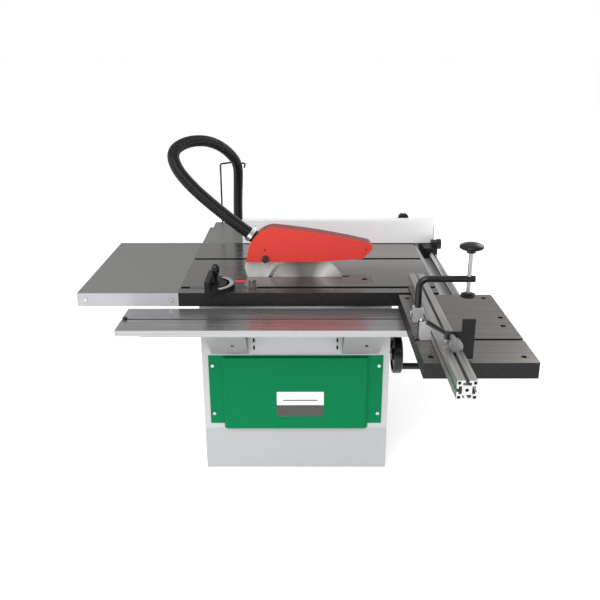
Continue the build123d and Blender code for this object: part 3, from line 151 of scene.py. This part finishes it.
# %% A ring pushed along the line
def pushed_ring(points, radii, segments):
    """A closed tube: a ring is extruded from point to point, turned to face along the line."""
    shape = bmesh.new()
    ahead = (points[1] - points[0]).normalized()
    facing = ahead.to_track_quat("Z", "Y")
    place = Matrix.Translation(points[0]) @ facing.to_matrix().to_4x4()
    bmesh.ops.create_circle(shape, cap_ends=True, segments=segments, radius=radii[0], matrix=place)
    ring = shape.edges[:]
    for number in range(1, len(points)):
        after = points[min(number + 1, len(points) - 1)]
        turned = (after - points[number - 1]).normalized()
        swing = ahead.rotation_difference(turned).to_matrix().to_4x4()
        grow = Matrix.Scale(radii[number] / radii[number - 1], 4)
        made = bmesh.ops.extrude_edge_only(shape, edges=ring)["geom"]
        verts = [part for part in made if isinstance(part, bmesh.types.BMVert)]
        ring = [part for part in made if isinstance(part, bmesh.types.BMEdge)]
        move = Matrix.Translation(points[number]) @ swing @ grow @ Matrix.Translation(-points[number - 1])
        bmesh.ops.transform(shape, matrix=move, verts=verts)
        ahead = turned
    bmesh.ops.holes_fill(shape, edges=ring)
    bmesh.ops.recalc_face_normals(shape, faces=shape.faces)
    return shape


def as_object(shape, name, smooth=True):
    """A mesh object at the origin from a finished bmesh."""
    mesh = bpy.data.meshes.new(name)
    shape.to_mesh(mesh)
    shape.free()
    for face in mesh.polygons:
        face.use_smooth = smooth
    made = bpy.data.objects.new(name, mesh)
    bpy.context.scene.collection.objects.link(made)
    return made


# %% The ribbed hose
crest = hose_diameter / 2
shoulder = crest - 0.0004
valley = crest - 0.0034
one_rib = [shoulder, crest, shoulder, valley]
hose_radii = [one_rib[number % rings_per_rib] for number in range(len(hose_points))]
hose = as_object(pushed_ring(hose_points, hose_radii, segments=24), "ribbed_hose")
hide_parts("suction_hose")
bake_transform(hose)
print("hose faces", len(hose.data.polygons))

# %% [markdown]
# Studio. The machine stands on a pale floor in soft light from all round. The
# world gives the even light and what the metal mirrors: it is white near the
# horizon and overhead and greyer between, so that ground iron mirrors a darker
# band and doesn't wash out. One broad lamp in front gives direction, and weaker
# ones from the left and from behind open the shadows. Broad lamps make soft
# edges to the shadows, as a light tent does. The floor glows a little, so that
# it stays as pale far away as it is under the lamps.

# %% Floor and world
floor_reach = 60
floor_shape = bmesh.new()
bmesh.ops.create_grid(floor_shape, x_segments=1, y_segments=1, size=floor_reach)
floor = as_object(floor_shape, "floor", smooth=False)

world = bpy.data.worlds.new("light_tent")
world.use_nodes = True
sky = world.node_tree
sky_where = sky.nodes.new("ShaderNodeTexCoord")
sky_split = sky.nodes.new("ShaderNodeSeparateXYZ")
sky_tones = sky.nodes.new("ShaderNodeValToRGB")
sky_tones.color_ramp.elements[0].color = (1.0, 1.0, 1.0, 1)
sky_tones.color_ramp.elements[1].color = (0.95, 0.95, 0.95, 1)
for height, tone in ((0.06, 1.0), (0.16, 0.50), (0.55, 0.48), (0.80, 0.95)):
    sky_tones.color_ramp.elements.new(height).color = (tone, tone, tone, 1)
sky.links.new(sky_where.outputs["Generated"], sky_split.inputs["Vector"])
sky.links.new(sky_split.outputs["Z"], sky_tones.inputs["Fac"])
sky.links.new(sky_tones.outputs["Color"], sky.nodes["Background"].inputs["Color"])
sky.nodes["Background"].inputs["Strength"].default_value = 1.0
bpy.context.scene.world = world
bpy.context.scene.view_settings.view_transform = "Standard"
print("floor half width", floor_reach, "world bands", len(sky_tones.color_ramp.elements))


# %% Lamps
def lamp(name, place, aim, size, power):
    """A broad soft lamp pointed at a place."""
    light = bpy.data.lights.new(name, "AREA")
    light.shape = "SQUARE"
    light.size = size
    light.energy = power
    made = bpy.data.objects.new(name, light)
    turn = (Vector(aim) - Vector(place)).to_track_quat("-Z", "Y").to_matrix().to_4x4()
    made.matrix_world = Matrix.Translation(place) @ turn
    bpy.context.scene.collection.objects.link(made)


lamp("high_front", (-0.8, -2.8, 2.9), (0, -0.1, 0.4), 2.2, 78)
lamp("left_side", (-3.0, -0.8, 1.8), (0, 0, 0.5), 1.6, 22)
lamp("right_back", (2.6, 2.2, 2.6), (0, 0, 0.6), 1.8, 34)
print("lamps", len(bpy.data.lights))

# %% [markdown]
# Finishes. Nothing on a workshop machine has one flat colour: paint has a fine
# orange peel, ground iron keeps the marks of the grinder, and zinc has a cloudy
# bloom. One helper builds them all: noise in the object's own coordinates picks
# between a darker and a lighter tone, moves the roughness a little and, where
# asked, lifts the surface. A long stretch in one direction turns the noise into
# brush marks.


# %% The finish helper
def toned(material, tones, scale, stretch=(1, 1, 1), contrast=(0.35, 0.65)):
    """Noise in the piece's own coordinates, as a colour between two tones."""
    tree = material.node_tree
    where = tree.nodes.new("ShaderNodeTexCoord")
    fit = tree.nodes.new("ShaderNodeMapping")
    fit.inputs["Scale"].default_value = stretch
    noise = tree.nodes.new("ShaderNodeTexNoise")
    noise.inputs["Scale"].default_value = scale
    noise.inputs["Detail"].default_value = 5
    ramp = tree.nodes.new("ShaderNodeValToRGB")
    ramp.color_ramp.elements[0].position, ramp.color_ramp.elements[1].position = contrast
    ramp.color_ramp.elements[0].color = (*tones[0], 1)
    ramp.color_ramp.elements[1].color = (*tones[1], 1)
    tree.links.new(where.outputs["Object"], fit.inputs["Vector"])
    tree.links.new(fit.outputs["Vector"], noise.inputs["Vector"])
    tree.links.new(noise.outputs["Fac"], ramp.inputs["Fac"])
    return ramp.outputs["Color"], noise.outputs["Fac"]


def ranged(material, value, low, high):
    """A noise value mapped to a range."""
    reach = material.node_tree.nodes.new("ShaderNodeMapRange")
    reach.inputs["From Min"].default_value = 0.3
    reach.inputs["From Max"].default_value = 0.7
    reach.inputs["To Min"].default_value = low
    reach.inputs["To Max"].default_value = high
    material.node_tree.links.new(value, reach.inputs["Value"])
    return reach.outputs["Result"]


def lifted(material, value, height, distance=0.001):
    """A small bump from a noise value."""
    bump = material.node_tree.nodes.new("ShaderNodeBump")
    bump.inputs["Strength"].default_value = height
    bump.inputs["Distance"].default_value = distance
    material.node_tree.links.new(value, bump.inputs["Height"])
    material.node_tree.links.new(bump.outputs["Normal"],
                                 material.node_tree.nodes["Principled BSDF"].inputs["Normal"])


def finish(name, tones, scale, roughness, metallic=0.0, stretch=(1, 1, 1), bump=0.0, coat=0.0,
           contrast=(0.35, 0.65), shine=0.5):
    """A finish with two close tones, a roughness range and perhaps a bump or a clear coat."""
    material = bpy.data.materials.new(name)
    material.use_nodes = True
    shader = material.node_tree.nodes["Principled BSDF"]
    shader.inputs["Metallic"].default_value = metallic
    shader.inputs["Specular IOR Level"].default_value = shine
    shader.inputs["Coat Weight"].default_value = coat
    shader.inputs["Coat Roughness"].default_value = 0.08
    colour, value = toned(material, tones, scale, stretch, contrast)
    material.node_tree.links.new(colour, shader.inputs["Base Color"])
    material.node_tree.links.new(ranged(material, value, *roughness), shader.inputs["Roughness"])
    if bump:
        lifted(material, value, bump)
    return material


# %% Paints
cabinet_paint = finish("cabinet_paint", ((0.50, 0.51, 0.52), (0.54, 0.55, 0.56)), 420, (0.30, 0.40),
                       bump=0.04)
plinth_paint = finish("plinth_paint", ((0.43, 0.435, 0.445), (0.46, 0.465, 0.475)), 420, (0.32, 0.42),
                      bump=0.04)
cover_green = finish("cover_green", ((0.0015, 0.178, 0.064), (0.003, 0.200, 0.074)), 380, (0.34, 0.42),
                     bump=0.03, shine=0.06)
stop_grey = finish("stop_grey", ((0.20, 0.20, 0.21), (0.27, 0.27, 0.28)), 200, (0.30, 0.42), 0.5)
print("paints", cabinet_paint.name, cover_green.name)

# %% [markdown]
# Metals. Ground iron, drawn aluminium, zinc plate and turned steel are all
# metals, so they mirror the room: what sets them apart is the tone, how rough
# they are and which way the fine lines run. The table and the cross-cut table
# were cast, painted black and then ground on top, so their finish changes with
# height: bare metal at the working surface and black paint below it.

# %% Bare metals
turned_steel = finish("turned_steel", ((0.46, 0.47, 0.48), (0.60, 0.61, 0.62)), 90, (0.18, 0.30), 0.9,
                      stretch=(1, 1, 14))
drawn_bar = finish("drawn_bar", ((0.40, 0.40, 0.41), (0.50, 0.50, 0.51)), 40, (0.08, 0.20), 1.0,
                   stretch=(1, 9, 1))
zinc_plate = finish("zinc_plate", ((0.28, 0.28, 0.28), (0.34, 0.34, 0.34)), 160, (0.34, 0.46), 0.10,
                    contrast=(0.36, 0.62))
drawn_alloy = finish("drawn_alloy", ((0.36, 0.36, 0.37), (0.46, 0.46, 0.47)), 24, (0.20, 0.32), 0.85,
                     stretch=(0.08, 12, 12))
bright_alloy = finish("bright_alloy", ((0.50, 0.50, 0.51), (0.58, 0.58, 0.59)), 40, (0.28, 0.38), 0.45,
                      stretch=(1, 1, 8))
rip_alloy = finish("rip_alloy", ((0.84, 0.84, 0.85), (0.92, 0.92, 0.93)), 24, (0.30, 0.40), 0.15,
                   stretch=(0.08, 12, 16))
insert_metal = finish("insert_metal", ((0.17, 0.125, 0.115), (0.27, 0.20, 0.185)), 50, (0.10, 0.20), 0.95,
                      stretch=(0.5, 16, 1))
knife_steel = finish("knife_steel", ((0.56, 0.58, 0.56), (0.72, 0.74, 0.72)), 12, (0.30, 0.42), 0.30,
                     stretch=(3, 1, 1))
gauge_steel = finish("gauge_steel", ((0.10, 0.10, 0.095), (0.16, 0.155, 0.15)), 90, (0.24, 0.38), 0.85,
                     stretch=(0.6, 12, 1))
mirror_chrome = finish("mirror_chrome", ((0.66, 0.67, 0.68), (0.80, 0.81, 0.82)), 60, (0.05, 0.12), 1.0)
raw_iron = finish("raw_iron", ((0.035, 0.037, 0.040), (0.075, 0.078, 0.082)), 160, (0.5, 0.7), 0.2,
                  bump=0.3)
print("metals", len(bpy.data.materials))


# %% Two finishes on one casting
def two_finish(name, upper, lower, level, axis="Z", metals=(0.92, 0.0),
               roughness=((0.16, 0.30), (0.38, 0.55)), grain=(0.8, 24, 1), shine=0.25):
    """One finish beyond a level along an axis of the piece, and another short of it."""
    material = bpy.data.materials.new(name)
    material.use_nodes = True
    tree = material.node_tree
    shader = tree.nodes["Principled BSDF"]
    shader.inputs["Specular IOR Level"].default_value = shine
    beyond, marks = toned(material, upper, 40, grain)
    short, peel = toned(material, lower, 220)
    where = tree.nodes.new("ShaderNodeTexCoord")
    split = tree.nodes.new("ShaderNodeSeparateXYZ")
    past = tree.nodes.new("ShaderNodeMath")
    past.operation = "GREATER_THAN"
    past.inputs[1].default_value = level
    tree.links.new(where.outputs["Object"], split.inputs["Vector"])
    tree.links.new(split.outputs[axis], past.inputs[0])
    colour = tree.nodes.new("ShaderNodeMix")
    colour.data_type = "RGBA"
    tree.links.new(past.outputs["Value"], colour.inputs["Factor"])
    tree.links.new(short, colour.inputs["A"])
    tree.links.new(beyond, colour.inputs["B"])
    tree.links.new(colour.outputs["Result"], shader.inputs["Base Color"])
    dull = tree.nodes.new("ShaderNodeMix")
    tree.links.new(past.outputs["Value"], dull.inputs["Factor"])
    tree.links.new(ranged(material, peel, *roughness[1]), dull.inputs["A"])
    tree.links.new(ranged(material, marks, *roughness[0]), dull.inputs["B"])
    tree.links.new(dull.outputs["Result"], shader.inputs["Roughness"])
    metal = tree.nodes.new("ShaderNodeMapRange")
    metal.inputs["To Min"].default_value = metals[1]
    metal.inputs["To Max"].default_value = metals[0]
    tree.links.new(past.outputs["Value"], metal.inputs["Value"])
    tree.links.new(metal.outputs["Result"], shader.inputs["Metallic"])
    return material


# %% Castings, leaves and the fence's sawn end
ground_level = 0.6346
leaf_level = 0.6338
sawn_end = -1.0153
along_the_table = (0.10, 10, 1)
along_the_fence = (12, 0.10, 12)
black_paint = ((0.006, 0.006, 0.007), (0.016, 0.016, 0.017))
painted_light_sides = ((0.40, 0.40, 0.42), (0.44, 0.44, 0.46))
bright_end = ((0.62, 0.62, 0.62), (0.70, 0.70, 0.70))
ground_table = two_finish("ground_table", ((0.205, 0.195, 0.183), (0.245, 0.235, 0.221)), black_paint,
                          ground_level, grain=along_the_table)
ground_cross = two_finish("ground_cross", ((0.20, 0.186, 0.174), (0.235, 0.218, 0.205)), black_paint,
                          ground_level, roughness=((0.24, 0.34), (0.38, 0.55)), grain=along_the_table)
# The leaves' top and sides are one paint: the darker top is painted shade and reflection, the paler sides
# painted light, split at leaf_level.
grey_leaf = two_finish("grey_leaf", ((0.175, 0.172, 0.167), (0.200, 0.197, 0.191)), painted_light_sides, leaf_level,
                       metals=(0.30, 0.0), roughness=((0.34, 0.46), (0.34, 0.44)))
fence_alloy = two_finish("fence_alloy", ((0.36, 0.35, 0.335), (0.46, 0.45, 0.435)), bright_end, sawn_end,
                         "Y", metals=(0.80, 0.4), roughness=((0.26, 0.36), (0.30, 0.40)),
                         grain=along_the_fence)
print("castings", ground_table.name, ground_cross.name)

# %% [markdown]
# Hood. The hood is one bright red moulding. Faces that look up get a painted
# shade: a darker red that stands in for the shade on its top edge. The piece's
# own normal says which faces look up, and it stays right when the hood tilts, as
# a world direction would not.

# %% The hood's red
hood_red = finish("hood_red", ((0.60, 0.028, 0.017), (0.67, 0.037, 0.022)), 260, (0.32, 0.40), bump=0.02,
                  shine=0.35)
hood_tree = hood_red.node_tree
hood_where = hood_tree.nodes.new("ShaderNodeTexCoord")
hood_split = hood_tree.nodes.new("ShaderNodeSeparateXYZ")
hood_shade_mask = hood_tree.nodes.new("ShaderNodeMapRange")
hood_shade_mask.inputs["From Min"].default_value = 0.45
hood_shade_mask.inputs["From Max"].default_value = 0.60
hood_shade_mix = hood_tree.nodes.new("ShaderNodeMix")
hood_shade_mix.data_type = "RGBA"
# painted shade: the darker red laid on faces that look up
hood_shade_mix.inputs["B"].default_value = (0.20, 0.016, 0.014, 1)
hood_colour = hood_tree.nodes["Color Ramp"].outputs["Color"]
hood_tree.links.new(hood_where.outputs["Normal"], hood_split.inputs["Vector"])
hood_tree.links.new(hood_split.outputs["Z"], hood_shade_mask.inputs["Value"])
hood_tree.links.new(hood_shade_mask.outputs["Result"], hood_shade_mix.inputs["Factor"])
hood_tree.links.new(hood_colour, hood_shade_mix.inputs["A"])
hood_tree.links.new(hood_shade_mix.outputs["Result"], hood_tree.nodes["Principled BSDF"].inputs["Base Color"])
print("hood finish", hood_red.name)

# %% [markdown]
# Plastics and rubber. Knobs, the handwheel, the hose and the switch are black,
# but black plastic is never zero: it is a very dark grey with a soft sheen, and
# each kind has its own roughness. The hose's own ribs break its highlight up.

# %% Plastics and rubber
gloss_black = finish("gloss_black", ((0.003, 0.003, 0.0035), (0.008, 0.008, 0.009)), 120, (0.14, 0.26),
                     shine=0.40)
matt_black = finish("matt_black", ((0.005, 0.005, 0.006), (0.012, 0.012, 0.013)), 200, (0.36, 0.52),
                    bump=0.10, shine=0.22)
hose_black = finish("hose_black", ((0.002, 0.002, 0.003), (0.006, 0.006, 0.008)), 90, (0.16, 0.26),
                    shine=0.22)
belt_black = finish("belt_black", ((0.006, 0.006, 0.006), (0.014, 0.014, 0.014)), 300, (0.6, 0.8), bump=0.2,
                    shine=0.2)
motor_blue = finish("motor_blue", ((0.05, 0.07, 0.10), (0.08, 0.10, 0.14)), 220, (0.35, 0.5), bump=0.1)
button_green = finish("button_green", ((0.02, 0.30, 0.05), (0.03, 0.36, 0.07)), 200, (0.2, 0.3), coat=0.3)
button_red = finish("button_red", ((0.62, 0.02, 0.015), (0.70, 0.03, 0.02)), 200, (0.2, 0.3), coat=0.3)
plate_white = finish("plate_white", ((0.80, 0.80, 0.79), (0.86, 0.86, 0.85)), 200, (0.3, 0.4))
plate_dark = finish("plate_dark", ((0.055, 0.050, 0.048), (0.070, 0.065, 0.062)), 200, (0.3, 0.4))
hose.data.materials.append(hose_black)

# %% The floor's finish
pale_floor = finish("pale_floor", ((0.93, 0.93, 0.93), (0.95, 0.95, 0.95)), 3, (0.7, 0.8), shine=0.0)
floor_shader = pale_floor.node_tree.nodes["Principled BSDF"]
floor_shader.inputs["Emission Color"].default_value = (1.0, 1.0, 1.0, 1)
floor_shader.inputs["Emission Strength"].default_value = 0.30
floor.data.materials.append(pale_floor)
print("materials", len(bpy.data.materials))

# %% [markdown]
# Blade. A saw blade is ground as it turns, so its fine lines run round its centre
# and the light breaks into bright and dark fans. Here the fans are painted
# highlights and painted shade: a radial gradient about the arbor sets them into
# the base colour. It begins and ends on one tone, so that no seam shows.

# %% The blade's finish
arbor_shift = (-0.038, 0.580, 0)
blade_metal = bpy.data.materials.new("blade_metal")
blade_metal.use_nodes = True
tree = blade_metal.node_tree
blade_where = tree.nodes.new("ShaderNodeTexCoord")
to_arbor = tree.nodes.new("ShaderNodeMapping")
to_arbor.inputs["Location"].default_value = arbor_shift
to_arbor.inputs["Rotation"].default_value = (math.radians(90), 0, 0)
fans = tree.nodes.new("ShaderNodeTexGradient")
fans.gradient_type = "RADIAL"
painted_highlight_ramp = tree.nodes.new("ShaderNodeValToRGB")
seam_tone = 0.17
# painted highlights and painted shade: bright and dark fans in the base colour by angle about the arbor
painted_highlight_stops = [(0.10, 0.50), (0.20, 0.17), (0.29, 0.26), (0.36, 0.85), (0.45, 0.16), (0.56, 0.50),
             (0.66, 0.18), (0.78, 0.72), (0.90, 0.18)]
for place, tone in painted_highlight_stops:
    painted_highlight_ramp.color_ramp.elements.new(place).color = (tone, tone, tone * 0.99, 1)
for end in (0, -1):
    painted_highlight_ramp.color_ramp.elements[end].color = (seam_tone, seam_tone, seam_tone, 1)
tree.links.new(blade_where.outputs["Object"], to_arbor.inputs["Vector"])
tree.links.new(to_arbor.outputs["Vector"], fans.inputs["Vector"])
tree.links.new(fans.outputs["Fac"], painted_highlight_ramp.inputs["Fac"])
blade_shader = tree.nodes["Principled BSDF"]
tree.links.new(painted_highlight_ramp.outputs["Color"], blade_shader.inputs["Base Color"])
blade_shader.inputs["Metallic"].default_value = 0.30
blade_shader.inputs["Roughness"].default_value = 0.30
print("blade fans", len(painted_highlight_stops))

# %% [markdown]
# Dressing. Every part that came from the measured model keeps its shape and gets
# one of these finishes. The list goes by part, so that a reader can see at once
# what each thing on the machine is made of.

# %% A finish for every part
finishes = {
    "base_plinth": plinth_paint, "cabinet_shell": cabinet_paint, "front_cover": cover_green,
    "guard_front_shell": hood_red, "guard_rear_shell": hood_red, "main_table": ground_table,
    "crosscut_table": ground_cross, "outfeed_extension": grey_leaf, "table_widening": grey_leaf,
    "table_insert": insert_metal, "sliding_table": drawn_alloy, "slide_rail": drawn_alloy,
    "crosscut_fence": fence_alloy, "fence_mounts": bright_alloy, "rip_fence_profile": rip_alloy,
    "fence_guide_bar": drawn_bar, "fence_rail_angle": zinc_plate, "rail_brackets": zinc_plate,
    "hose_holder": matt_black, "stop_plate": matt_black, "riving_knife": knife_steel,
    "saw_blade": blade_metal, "hose_clamp": mirror_chrome, "hose_port": matt_black,
    "panel_screws": turned_steel, "arbor_bearings": turned_steel, "arbor_nut": turned_steel,
    "arbor_pulley": turned_steel, "arbor_shaft": turned_steel, "carriage_rollers": turned_steel,
    "guide_columns": turned_steel, "handwheel_shaft": turned_steel, "lead_screw": turned_steel,
    "mitre_bar": gauge_steel, "motor_pulley": turned_steel, "trunnions": raw_iron,
    "tilt_cradle": raw_iron, "arbor_carriage": raw_iron, "motor": motor_blue, "drive_belt": belt_black,
    "hold_down_arm": gloss_black, "guard_knob": gloss_black, "handwheel_grip": gloss_black,
    "height_handwheel": gloss_black, "mitre_handle": gloss_black, "rip_clamp_knob": gloss_black,
    "rip_lock_knob": gloss_black, "stop_lever": gloss_black, "tilt_lock_knob": gloss_black,
    "cable_gland": matt_black, "dust_chute": matt_black, "hold_down_pad": matt_black,
    "mitre_head": matt_black, "rip_fence_head": matt_black, "stop_carrier": stop_grey,
    "switch_box": matt_black, "start_button": button_green, "stop_button": button_red,
}
for part, look in finishes.items():
    nodes[part].data.materials.clear()
    nodes[part].data.materials.append(look)
print("dressed", len(finishes), "left", sorted(set(nodes) - set(finishes)))

# %% [markdown]
# Hold-down screw. One turned part carries a bright thread below and a moulded
# black knob above, so its finish changes with height, as the castings' does.

# %% Thread below, knob above
knob_foot = 0.8305
knob_over_thread = two_finish("knob_over_thread", ((0.004, 0.004, 0.0045), (0.009, 0.009, 0.010)),
                              ((0.38, 0.39, 0.40), (0.44, 0.45, 0.46)), knob_foot, metals=(0.0, 0.85),
                              roughness=((0.20, 0.30), (0.24, 0.28)))
nodes["hold_down_spindle"].data.materials.clear()
nodes["hold_down_spindle"].data.materials.append(knob_over_thread)
print("hold-down finish", knob_over_thread.name)

# %% [markdown]
# Small pieces. Screws, stops, plates and scales are too small to need a joint or
# a hole of their own, but the eye looks for them. They start as a cube or a cone
# from bmesh, get a small bevel so that their edges catch the light, and ride on
# the body that carries them.


# %% Blocks and discs
def block(low, high, bevel=0.0):
    """A block between two places, with its edges eased."""
    a, b = at(*low), at(*high)
    shape = bmesh.new()
    size = Matrix.Diagonal((*(b - a), 1))
    bmesh.ops.create_cube(shape, size=1, matrix=Matrix.Translation((a + b) / 2) @ size)
    if bevel:
        bmesh.ops.bevel(shape, geom=shape.edges[:], offset=bevel / 1000, segments=2, profile=0.5,
                        affect="EDGES", material=-1)
    return shape


def disc(centre, direction, radius, height, bevel=0.0, segments=32):
    """A round piece that stands on a place and points along a direction."""
    shape = bmesh.new()
    turn = Vector(direction).to_track_quat("Z", "Y").to_matrix().to_4x4()
    place = Matrix.Translation(at(*centre)) @ turn @ Matrix.Translation((0, 0, height / 2000))
    bmesh.ops.create_cone(shape, cap_ends=True, segments=segments, radius1=radius / 1000,
                          radius2=radius / 1000, depth=height / 1000, matrix=place)
    if bevel:
        rims = [edge for edge in shape.edges if any(len(face.verts) > 4 for face in edge.link_faces)]
        bmesh.ops.bevel(shape, geom=rims, offset=bevel / 1000, segments=2, profile=0.5,
                        affect="EDGES", material=-1)
    return shape


def fit(shape, name, look, body, slot, smooth=False):
    """Makes the piece, gives it its finish and lets it ride on a body."""
    made = as_object(shape, name, smooth)
    made.data.materials.append(look)
    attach(made, body)
    return made


# %% Name plate, left blank
plate_left, plate_right, plate_face, plate_back = 298, 451, 11.6, 13.2
fit(block((plate_left, plate_face, -393), (plate_right, plate_back, -345), 0.4), "name_plate_white",
    plate_white, "root", "cabinet_paint")
fit(block((plate_left, plate_face, -434), (plate_right, plate_back, -393.2), 0.4), "name_plate_dark",
    plate_dark, "root", "black_plastic")
fit(block((plate_left + 20, 11.2, -377), (plate_right - 20, 11.8, -373.5)), "name_plate_line",
    plate_dark, "root", "black_plastic")
print("name plate on the cover")

# %% Screws in the insert
for number, (along, back) in enumerate(((198, 91), (597, 91), (198, 174), (597, 174))):
    fit(disc((along, back, -0.6), (0, 0, 1), 3.6, 0.9, 0.2), f"insert_screw_{number}", turned_steel, "root",
        "bright_steel")
print("insert screws", number + 1)

# %% Rivets in the hood
for name, along, up, radius in (("rear", 262, 98, 3.2), ("nose", 585, 99, 2.6)):
    fit(disc((along, 135.2, up), (0, -1, 0), radius, 1.0, 0.3), f"hood_rivet_{name}", gloss_black, "cradle",
        "black_knob")
    print("rivet", name)

# %% [markdown]
# Scale tape. A steel tape along the rail shows the width of cut, with a mark at
# every ten millimetres. Ninety marks would be ninety little boxes, so the marks
# are in the finish instead: the position across the table is divided by ten
# millimetres and what is left over picks white or dark.

# %% Tape with marks
tape_look = bpy.data.materials.new("tape_marks")
tape_look.use_nodes = True
tree = tape_look.node_tree
tape_where = tree.nodes.new("ShaderNodeTexCoord")
tape_split = tree.nodes.new("ShaderNodeSeparateXYZ")
tape_step = tree.nodes.new("ShaderNodeMath")
tape_step.operation = "PINGPONG"
tape_step.inputs[1].default_value = 0.005
tape_mark = tree.nodes.new("ShaderNodeMapRange")
tape_mark.inputs["From Min"].default_value = 0.0012
tape_mark.inputs["From Max"].default_value = 0.0016
tape_tones = tree.nodes.new("ShaderNodeValToRGB")
tape_tones.color_ramp.elements[0].color = (0.75, 0.75, 0.74, 1)
tape_tones.color_ramp.elements[1].color = (0.10, 0.10, 0.10, 1)
tree.links.new(tape_where.outputs["Object"], tape_split.inputs["Vector"])
tree.links.new(tape_split.outputs["Y"], tape_step.inputs[0])
tree.links.new(tape_step.outputs["Value"], tape_mark.inputs["Value"])
tree.links.new(tape_mark.outputs["Result"], tape_tones.inputs["Fac"])
tree.links.new(tape_tones.outputs["Color"], tree.nodes["Principled BSDF"].inputs["Base Color"])
tree.nodes["Principled BSDF"].inputs["Roughness"].default_value = 0.4
fit(block((800.5, -12, -8), (815, 904, -6.8)), "scale_tape", tape_look, "root", "zinc_steel")
print("scale tape along the rail")

# %% [markdown]
# Mitre gauge. The quadrant carries a bright graduated arc, and a red pointer on
# the bar shows the angle. The arc is a ring sector: a thin strip spun part of the
# way round the pivot, with one dark tick every five degrees standing on it.

# %% Graduated arc
pivot = at(95, 50, 0)
arc_shape = bmesh.new()
inner, outer, low, high = 0.060, 0.0735, 0.0149, 0.0158
start = Matrix.Rotation(math.radians(-62), 4, "Z")
corners = [arc_shape.verts.new(pivot + start @ Vector((radius, 0, height)))
           for radius, height in ((inner, low), (outer, low), (outer, high), (inner, high))]
strip = arc_shape.faces.new(corners)
bmesh.ops.spin(arc_shape, geom=[strip], cent=pivot, axis=(0, 0, 1), angle=math.radians(124), steps=31,
               use_merge=False, use_duplicate=False)
bmesh.ops.recalc_face_normals(arc_shape, faces=arc_shape.faces)
fit(arc_shape, "gauge_arc", bright_alloy, "gauge_head", "zinc_steel")

print("graduated arc")

# %% Ticks, pointer and bolt
ticks = bmesh.new()
for degree in range(-60, 61, 5):
    reach = 0.008 if degree % 15 == 0 else 0.005
    mark = Matrix.Diagonal((reach, 0.0009, 0.0004, 1))
    place = (Matrix.Translation(pivot) @ Matrix.Rotation(math.radians(degree), 4, "Z")
             @ Matrix.Translation((outer - reach / 2, 0, high)) @ mark)
    bmesh.ops.create_cube(ticks, size=1, matrix=place)
fit(ticks, "gauge_ticks", matt_black, "gauge_head", "black_plastic")
pointer_red = finish("pointer_red", ((0.60, 0.02, 0.02), (0.72, 0.03, 0.03)), 200, (0.3, 0.4))
fit(block((172, 43, 20), (206, 57, 22.5), 0.8), "gauge_pointer", pointer_red, "gauge_bar", "stop_red")
fit(disc((224, 50, 20), (0, 0, 1), 5, 5, 0.6, 6), "gauge_bolt", turned_steel, "gauge_bar", "bright_steel")
print("gauge dressed")

# %% [markdown]
# Carriage and fence fittings. A black stop closes the tee slot at the carriage's
# end, a nut and a fluted screw clamp the fence's blocks, and hex bolts hold the
# brackets. All are discs: six sides make a bolt's head, and eighteen flats with a
# small bevel pass for a fluted grip.

# %% Stops, nuts and bolts
fit(disc((-140, -115, -42), (0, 0, 1), 7, 7, 1.2), "slot_stop", gloss_black, "slider", "black_knob")
fit(disc((684, -238, 22), (-1, 0, 0), 9, 7, 1.0, 6), "block_nut", turned_steel, "fence", "bright_steel")
fit(disc((698, -305, 1), (0, 0, 1), 8.5, 26, 1.2, 18), "fence_screw", matt_black, "fence", "black_plastic")
fit(disc((698, -305, 27), (0, 0, 1), 5, 8, 0.8, 6), "fence_screw_head", turned_steel, "fence", "bright_steel")
bolt_in = 62  # from each bracket's left edge
for number, left in enumerate((91, 508)):
    fit(disc((left + bolt_in, -96, -98), (0, 0, 1), 6.5, 5, 0.6, 6), f"bracket_bolt_{number}",
        turned_steel, "root", "bright_steel")
print("fittings done")
